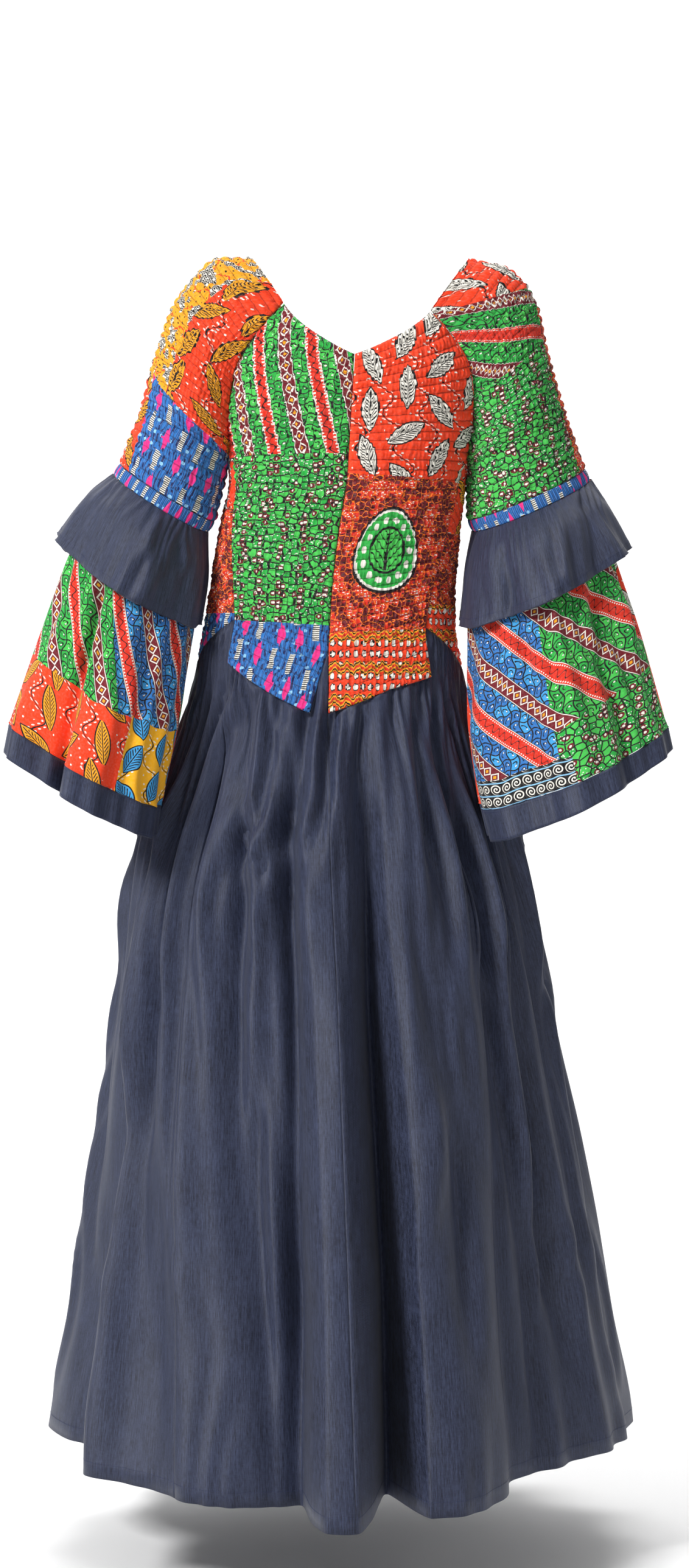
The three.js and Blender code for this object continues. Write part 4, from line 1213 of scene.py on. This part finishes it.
def upper_sleeve(context, side, seed):
    """A smocked sleeve: a closed tube up to the underarm, then open along its raglan seams."""
    sizes = context.scene.dress_sizes
    per_row, columns = SLEEVE_GRID
    name = f"upper_sleeve_{side}"
    closed = CLOSED_SLEEVE_ROWS * per_row
    opened = (SLEEVE_ROWS - CLOSED_SLEEVE_ROWS) * per_row
    cuff = np.array(ARMS[side]["cuff"], dtype=float)
    part = np.arange(closed)[:, None, None] / closed
    rings = mix(cuff, armhole_ring(side), part)
    turn = turns_round(columns, side)[None, :]
    low = sided(ring_point(rings, turn, 0.0), side)
    high = cap_rows(side, 1 - np.arange(opened + 1) / opened, columns)
    base = np.concatenate([low, high])
    base[closed, -1] = base[closed, 0]
    draw_in(base, False, True)
    normals = normals_of(base, closed)
    outwards = 1 if side == "left" else -1
    base[closed + 1:, 0, 0] += outwards * ARMHOLE_GAP
    base[closed + 1:, -1, 0] += outwards * ARMHOLE_GAP
    across = lengths_across(base, columns // 2)
    up = lengths_up(base)
    inward = np.minimum(across - across[:, :1], across[:, -1:] - across)
    row = np.arange(base.shape[0])[:, None]
    elastic = row / (base.shape[0] - 1) * SLEEVE_ELASTIC
    edge = np.sqrt(np.clip(inward / SEAM_FADE, 0, 1))
    relief, shift = smocking(sizes, across, elastic + 0 * across, seed, 1.0)
    joined = ease(0.0, 14.0, inward)
    relief = np.where(row <= closed,
                      mix((relief[:, :1] + relief[:, -1:]) / 2, relief, joined),
                      relief * edge - 0.7 * (1 - edge))
    outer = base + normals * relief[..., None]
    inner = base - normals * SMOCKED_WALL
    uv = np.stack([across + shift, up], axis=-1)
    piece = shell(name, outer, inner, uv, material_of(context, name), closed_to=closed, skip=(6, 5),
                  elastic=elastic)
    settle(piece, name)


def tier_gathers(turn, drop_mm, seed):
    """Small folds that every tier of a sleeve shares, by the distance below its seam in mm."""
    place = (turn + 180) / 360
    sway = 0.22 * soft_noise(place * 14, drop_mm / 60, seed, wrap=14)
    fine_sway = 0.9 * soft_noise(place * 23, drop_mm / 45, seed + 1, wrap=23)
    fine = np.cos(TAU * (place * SEAM_GATHERS + sway + fine_sway))
    coarse_sway = 0.8 * soft_noise(place * 9, drop_mm / 130, seed + 2, wrap=9)
    coarse = np.cos(TAU * (place * LOW_GATHERS + coarse_sway))
    uneven = 0.7 + 0.4 * soft_noise(place * 12, drop_mm / 80, seed + 3, wrap=12)
    return uneven * (SEAM_GATHER_DEPTH * fine * np.exp(-drop_mm / 46)
                     + LOW_GATHER_DEPTH * coarse * ease(8, 75, drop_mm))


def tier_creases(kind, side, turn, drop):
    """The placed creases of one tier, added up."""
    total = 0.0 * turn * drop
    for own_kind, own_side, *shape in TIER_CREASES:
        if (own_kind, own_side) == (kind, side):
            total = total + crease(turn, drop, *shape)
    return total


def tier_base(side, kind, inset, seed):
    """Grid of a flared tier with its folds, hem first."""
    drop = np.linspace(1, 0, TIER_ROWS[kind] + 1)[:, None]
    turn = turns_round(TIER_COLUMNS, side)[None, :]
    rings = smooth(ARMS[side][kind], drop)
    length = TIER_LENGTHS[kind]
    sway = 5 * soft_noise((turn + 180) / 45, drop * length / 90, seed + 9, wrap=8) * drop
    fold = smooth(TIER_FOLDS, np.clip(turn + sway, -180, 180))[..., FOLD_COLUMN[kind, side]]
    out = fold * drop ** 1.3 + tier_gathers(turn, drop * length, seed) - inset
    out = out + tier_creases(kind, side, turn, drop)
    return sided(ring_point(rings, turn, out), side)


def cloth_across(turn, up):
    """Place across the flat cloth of a tier, which is cut straight and gathered at its top."""
    return TIER_CUT / 360 * np.sort(turn)[None, :] + 0 * up


def tier_piece(context, side, kind, wall, inset, seed):
    """A ruffle or a bell with its edge, its stitches if it has any, and its cloth."""
    sizes = context.scene.dress_sizes
    name = f"sleeve_{kind}_{side}"
    rows = TIER_ROWS[kind]
    base = tier_base(side, kind, inset, seed)
    draw_in(base, False, True)
    normals = normals_of(base, rows)
    up = lengths_up(base)
    outer = base.copy()
    if kind == "ruffle":
        turned = ease(0, 1.2, sizes.hem_depth / MM - up) * HEM_LIFT
        outer += normals * turned[..., None]
        row = int(np.argmin(np.abs(up[:, 0] - sizes.hem_depth / MM * STITCH_PLACE)))
        stitches(f"hem_stitches_ruffle_{side}", outer[row], normals[row], sizes,
                                    material_of(context, "hem_thread"))
    uv = np.stack([cloth_across(turns_round(TIER_COLUMNS, side), up), up], axis=-1)
    material = material_of(context, name if kind == "bell" else "denim_cloth")
    piece = shell(name, outer, base - normals * wall, uv, material, closed_to=rows, skip=(3, 2))
    settle(piece, name)


def ring_piece(context, kind, side, first, second, columns, wall, out_of, material,
               relief=None):
    """A plain ring of cloth between two rings of the arm, its lower one first."""
    name, rows = f"{kind}_{side}", BAND_ROWS
    part = np.linspace(0, 1, rows + 1)[:, None, None]
    turn = turns_round(columns, side)[None, :]
    rings = mix(np.array(first, dtype=float), np.array(second, dtype=float), part)
    base = sided(ring_point(rings, turn, out_of(turn)), side)
    draw_in(base, False, True)
    normals = normals_of(base, rows)
    up = lengths_up(base)
    outer = base.copy()
    if relief is not None:
        outer += normals * relief(turn, part[..., 0])[..., None]
    uv = np.stack([cloth_across(turns_round(columns, side), up), up], axis=-1)
    piece = shell(name, outer, base - normals * wall, uv, material, closed_to=rows, skip=(4, 2))
    if kind == "bell_band":
        for place, label in ((0.1, "low"), (0.9, "high")):
            row = int(round(rows * place))
            stitches(f"hem_stitches_bell_{label}_{side}", outer[row], normals[row],
                                        context.scene.dress_sizes, material_of(context, "hem_thread"))
    settle(piece, name)


def pressed_in(turn, z):
    """How far the hanging bells press the skirt in, on both sides of its back."""
    from_side = np.minimum(turn, 180 - turn)
    aside = np.clip(np.abs(from_side - PRESS_TURN) / PRESS_TURN, 0, 1)
    above = np.clip(np.abs(z - PRESS_Z) / PRESS_REACH, 0, 1)
    amount = PRESS_DEPTH * np.cos(aside * math.pi / 2) ** 2 * np.cos(above * math.pi / 2) ** 2
    return np.where(np.sin(np.radians(turn)) > 0, amount, 0.0)


def skirt_gathers(sizes, hem_turn, z, below, seam):
    """Uneven puckers under the waist seam that flow together into longer folds. below is the
    distance under the seam itself, and seam is 0 at the edges of a gore."""
    level = np.maximum(GATHER_Z - z, 0)
    around = (hem_turn + 60) / 360
    puckers = round(GATHERED_SWEEP / (sizes.gather_pitch / MM * WAIST_FULLNESS))
    sway = 0.8 * soft_noise(around * 60, below / 70, 41, wrap=60)
    fine = np.cos(TAU * (around * puckers + sway))
    middle_sway = 1.1 * soft_noise(around * 30, level / 160, 43, wrap=30)
    middle = np.cos(TAU * (around * MIDDLE_FOLDS + middle_sway))
    long_sway = 0.7 * soft_noise(around * 17, level / 420, 45, wrap=17)
    long = np.cos(TAU * (around * LONG_FOLDS + long_sway))
    uneven = 0.75 + 0.5 * soft_noise(around * 36, level / 150, 47, wrap=36)
    fade = 84 + 44 * soft_noise(around * 52, 0.5 + 0 * below, 49, wrap=52)
    return uneven * (
        PUCKER_DEPTH * fine * np.exp(-below / fade) * ease(0, 6, below) * seam
        + MIDDLE_DEPTH * (middle - 0.5) * ease(25, 110, level) * (1 - 0.8 * ease(200, 560, level))
        + LONG_DEPTH * long * ease(90, 360, level) * (1 - 0.45 * ease(500, 860, level))
    )


def skirt_gore(context, label, first, second, edge):
    """A gore with its gathers, folds, creases and hem, between its first and second seam."""
    sizes = context.scene.dress_sizes
    kind = label.split("_")[0]
    name = f"skirt_gore_{label}"
    across = np.linspace(0, 1, GORE_COLUMNS[kind] + 1)[None, :]
    above, below = (np.linspace(0, 1, rows + 1) for rows in GORE_ROWS)
    steps = np.concatenate([above[:-1], 1 + below ** 1.12])[::-1, None]
    hem_turn = mix(first[1], second[1], across)
    waist_turn = mix(first[0], second[0], across)
    top_z = straight(edge, across)[..., 0]
    hem_z = HEM_Z - HEM_DIP * np.maximum(0, np.sin(np.radians(hem_turn))) ** 2
    z = np.where(steps <= 1, mix(top_z, LEVEL_Z, np.minimum(steps, 1)), mix(LEVEL_Z, hem_z, steps - 1))
    drop = np.clip((WAIST_Z - z) / (WAIST_Z - hem_z), 0, 1)
    turn = mix(waist_turn, hem_turn, drop)
    sway = 1.6 * soft_noise((hem_turn + 60) / 24, z / 260, 51, wrap=15) * np.sin(math.pi * drop)
    wrapped = (hem_turn + sway + 60) % 360 - 60
    fold = smooth(SKIRT_FOLDS, wrapped)[..., 0] * drop ** 0.9
    seam = ease(0, 0.05, np.minimum(across, 1 - across))
    gathers = skirt_gathers(sizes, hem_turn, z, top_z - z, seam)
    for first_turn, *shape in SKIRT_CREASES:
        gathers = gathers + crease(hem_turn, drop, shape[0] + (first_turn - shape[0]) * 0.35, *shape)
    dented = -0.5 * (1 - ease(0, 0.02, np.minimum(across, 1 - across))) * ease(0, 0.02, drop)
    base = body_point(turn, z, fold + gathers + dented - pressed_in(turn, z))
    draw_in(base, False, True)
    normals = normals_of(base)
    up = lengths_up(base)
    hem_mm = sizes.hem_depth / MM
    outer = base + normals * (HEM_LIFT * ease(0, 1.5, hem_mm - up))[..., None]
    row = int(np.argmin(np.abs(up[:, 0] - hem_mm * STITCH_PLACE)))
    thread = stitches(f"hem_stitches_{label}", outer[row], normals[row], sizes,
                      material_of(context, "hem_thread"))
    uv = np.stack([hem_turn / 360 * HEM_SWEEP + 0 * z, up], axis=-1)
    piece = shell(name, outer, base - normals * DENIM_WALL, uv, material_of(context, "denim_cloth"),
                  skip=(2, 2))
    settle(piece, name)


def aimed(name, data, place, aim):
    """A light or camera at a place, turned to what it aims at."""
    item = put_in_scene(name, data)
    item.location = place
    direction = Vector(aim) - Vector(place)
    item.rotation_euler = direction.to_track_quat("-Z", "Y").to_euler()
    return item


# Add-on parts

class DressSizes(bpy.types.PropertyGroup):
    """Sizes of the cloth's small shapes."""

    crinkle_pitch: bpy.props.FloatProperty(
        name="Crinkle pitch", description="Width of one crinkle of the smocked cloth",
        default=0.0052, unit="LENGTH")
    puff_height: bpy.props.FloatProperty(
        name="Puff height", description="Rise of the cloth between two elastic rows",
        default=0.0038, unit="LENGTH")
    gather_pitch: bpy.props.FloatProperty(
        name="Gather pitch", description="Width of one gather at the skirt's waist seam",
        default=0.0115, unit="LENGTH")
    hem_depth: bpy.props.FloatProperty(
        name="Hem depth", description="Depth of the turned hem of the skirt and ruffles",
        default=0.012, unit="LENGTH")
    stitch_length: bpy.props.FloatProperty(
        name="Stitch length", description="Length of one stitch of the hems",
        default=0.0026, unit="LENGTH")


def colour_setting(name, text, description):
    return bpy.props.FloatVectorProperty(
        name=name, description=description, subtype="COLOR", size=3, min=0, max=1, default=paint(text))


class DressColours(bpy.types.PropertyGroup):
    """Colours of the prints and of the denim."""

    green: colour_setting("Green", "#2bab45", "Ground of the green prints")
    leaf: colour_setting("Leaf green", "#48c552", "Lighter green of the green prints")
    flame: colour_setting("Flame", "#f5411a", "Ground of the orange-red prints")
    orange: colour_setting("Orange", "#fa7b22", "Fine lines of the orange prints")
    red: colour_setting("Red", "#d92f1b", "Orange-red of waves and crackle")
    maroon: colour_setting("Maroon", "#701522", "Dark red of bands and crackle")
    gold: colour_setting("Gold", "#f3a41f", "Gold of lattices, leaves and bands")
    yellow: colour_setting("Yellow", "#fcb61c", "Ground of the yellow print")
    blue: colour_setting("Blue", "#2f74bd", "Blue of stripes and scrolls")
    azure: colour_setting("Azure", "#3f9fdc", "Lighter blue of the scrolls")
    navy: colour_setting("Navy", "#1d2a5c", "Dark stripe")
    sky: colour_setting("Sky", "#8fc6ec", "Light blue dots")
    pink: colour_setting("Pink", "#ec2f86", "Lozenges")
    ink: colour_setting("Ink", "#131013", "Dark outlines of the prints")
    white: colour_setting("White", "#efeadf", "White of the prints")
    denim: colour_setting("Denim", "#12172b", "Dark tone of the denim")
    denim_pale: colour_setting("Pale denim", "#3e4662", "Pale warp threads of the denim")
    thread: colour_setting("Thread", "#2a3152", "Stitches of the hems")


class DRESS_OT_bodice(bpy.types.Operator):
    """Smocked panels of the bodice"""

    bl_idname = "dress.bodice"
    bl_label = "Bodice panels"

    def execute(self, context):
        for face, seed in (("back", 11), ("front", 13)):
            main_panel(context, "left", face, seed)
            main_panel(context, "right", face, seed + 1)
        side_panel(context, "left", 15)
        side_panel(context, "right", 16)
        return {"FINISHED"}


class DRESS_OT_sleeves(bpy.types.Operator):
    """Smocked raglan sleeves down to the elbow, with the bands that end them"""

    bl_idname = "dress.sleeves"
    bl_label = "Upper sleeves"

    def execute(self, context):
        for side, seed in (("left", 21), ("right", 22)):
            upper_sleeve(context, side, seed)

            def casing(turn, part, seed=seed):
                place = (turn + 180) / 360
                sway = 0.8 * soft_noise(place * 30, 0.5, seed, wrap=30)
                crinkle = 0.5 + 0.5 * np.cos(TAU * (place * 96 + sway))
                return np.sin(math.pi * part) ** 0.6 * (0.5 + 1.3 * crinkle) - 0.2

            ring_piece(context, "sleeve_band", side, ARMS[side]["seam"], ARMS[side]["cuff"],
                       SLEEVE_BAND_COLUMNS, SMOCKED_WALL, lambda turn: 0.0 * turn,
                       material_of(context, f"sleeve_band_{side}"),
                       casing)
        return {"FINISHED"}


class DRESS_OT_ruffles(bpy.types.Operator):
    """Denim ruffles over the tops of the bell tiers"""

    bl_idname = "dress.ruffles"
    bl_label = "Ruffles"

    def execute(self, context):
        for side, seed in TIER_SEEDS.items():
            tier_piece(context, side, "ruffle", DENIM_WALL, 0.0, seed)
        return {"FINISHED"}


class DRESS_OT_bells(bpy.types.Operator):
    """Printed bell tiers and the denim bands at their hems"""

    bl_idname = "dress.bells"
    bl_label = "Bell tiers"

    def execute(self, context):
        inset = DENIM_WALL + TIER_GAP + 0.1
        length = TIER_LENGTHS["bell"]
        for side, seed in TIER_SEEDS.items():
            tier_piece(context, side, "bell", PRINT_WALL, inset, seed)

            def out_of(turn, side=side, seed=seed):
                sway = 5 * soft_noise((turn + 180) / 45, length / 90 + 0 * turn, seed + 9, wrap=8)
                fold = smooth(TIER_FOLDS, np.clip(turn + sway, -180, 180))[..., FOLD_COLUMN["bell", side]]
                creases = tier_creases("bell", side, turn, 1.0)
                return fold + tier_gathers(turn, length + 0 * turn, seed) + creases - inset

            ring_piece(context, "bell_band", side, ARMS[side]["hem"], ARMS[side]["bell"][-1][1:],
                       TIER_COLUMNS, DENIM_WALL, out_of,
                       material_of(context, "denim_cloth"))
        return {"FINISHED"}


class DRESS_OT_skirt(bpy.types.Operator):
    """Gathered gores of the long skirt"""

    bl_idname = "dress.skirt"
    bl_label = "Skirt gores"

    def execute(self, context):
        for gore in GORES:
            skirt_gore(context, *gore)
        return {"FINISHED"}


class DRESS_OT_stage(bpy.types.Operator):
    """Pale studio floor, lights and the camera of the photo"""

    bl_idname = "dress.stage"
    bl_label = "Stage"

    def execute(self, context):
        scene = context.scene
        # The floor curves up into a wall behind the dress, and goes on flat beyond that wall
        profile = [(FLOOR_REACH, FLOOR_Z), (CURVE_Y, FLOOR_Z)]
        for k in range(1, CURVE_STEPS + 1):
            angle = math.pi / 2 * k / CURVE_STEPS
            profile.append((CURVE_Y - CURVE_RADIUS * math.sin(angle),
                            FLOOR_Z + CURVE_RADIUS * (1 - math.cos(angle))))
        profile.append((CURVE_Y - CURVE_RADIUS, WALL_TOP))
        points = [(x, y, z) for y, z in profile for x in (FLOOR_SIDE, -FLOOR_SIDE)]
        faces = [(2 * k, 2 * k + 1, 2 * k + 3, 2 * k + 2) for k in range(len(profile) - 1)]
        faces.append((2, 3, len(points) + 1, len(points)))
        points += [(FLOOR_SIDE, -FLOOR_REACH, FLOOR_Z), (-FLOOR_SIDE, -FLOOR_REACH, FLOOR_Z)]
        mesh = bpy.data.meshes.new("studio_floor")
        mesh.from_pydata(points, [], faces)
        mesh.polygons.foreach_set("use_smooth", [True] * len(faces))
        floor = put_in_scene("studio_floor", mesh)
        material = bpy.data.materials.new("studio_white")
        material.use_nodes = True
        shader = material.node_tree.nodes["Principled BSDF"]
        shader.inputs["Base Color"].default_value = (0.93, 0.93, 0.93, 1)
        shader.inputs["Roughness"].default_value = 0.9
        nodes, links = material.node_tree.nodes, material.node_tree.links
        side = nodes.new("ShaderNodeNewGeometry")
        clear = nodes.new("ShaderNodeBsdfTransparent")
        either = nodes.new("ShaderNodeMixShader")
        links.new(side.outputs["Backfacing"], either.inputs[0])
        links.new(shader.outputs[0], either.inputs[1])
        links.new(clear.outputs[0], either.inputs[2])
        links.new(either.outputs[0], nodes["Material Output"].inputs[0])
        mesh.materials.append(material)

        world = bpy.data.worlds.new("studio")
        scene.world = world
        world.use_nodes = True
        world.node_tree.nodes["Background"].inputs[0].default_value = (1, 1, 1, 1)
        world.node_tree.nodes["Background"].inputs[1].default_value = 0.25

        for name, place, aim, size, power in LIGHTS:
            lamp = bpy.data.lights.new(name, "AREA")
            lamp.shape, lamp.size, lamp.energy = "SQUARE", size, power
            aimed(name, lamp, place, aim).visible_camera = False

        lens = bpy.data.cameras.new("photo_camera")
        lens.sensor_fit, lens.sensor_height, lens.lens = "VERTICAL", 36, 68.58
        scene.camera = aimed("photo_camera", lens, CAMERA_PLACE, CAMERA_AIM)
        scene.view_settings.view_transform = "Standard"
        scene.view_settings.look = "None"
        return {"FINISHED"}


class DRESS_PT_panel(bpy.types.Panel):
    """Lists the steps that build the dress"""

    bl_label = "Peasant dress"
    bl_idname = "DRESS_PT_panel"
    bl_space_type = "VIEW_3D"
    bl_region_type = "UI"
    bl_category = "Dress"

    def draw(self, context):
        for step in STEPS:
            self.layout.operator(step.bl_idname)
        for settings in (context.scene.dress_sizes, context.scene.dress_colours):
            for key in settings.__annotations__:
                self.layout.prop(settings, key)


STEPS = [DRESS_OT_bodice, DRESS_OT_sleeves, DRESS_OT_ruffles, DRESS_OT_bells, DRESS_OT_skirt,
         DRESS_OT_stage]
CLASSES = [DressSizes, DressColours, *STEPS, DRESS_PT_panel]


def register():
    for item in CLASSES:
        bpy.utils.register_class(item)
    bpy.types.Scene.dress_sizes = bpy.props.PointerProperty(type=DressSizes)
    bpy.types.Scene.dress_colours = bpy.props.PointerProperty(type=DressColours)


def unregister():
    del bpy.types.Scene.dress_colours
    del bpy.types.Scene.dress_sizes
    for item in reversed(CLASSES):
        bpy.utils.unregister_class(item)


def main():
    register()
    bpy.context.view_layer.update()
    for operator in (bpy.ops.dress.bodice, bpy.ops.dress.sleeves, bpy.ops.dress.ruffles,
                     bpy.ops.dress.bells, bpy.ops.dress.skirt, bpy.ops.dress.stage):
        operator()


if __name__ == "__main__":
    main()
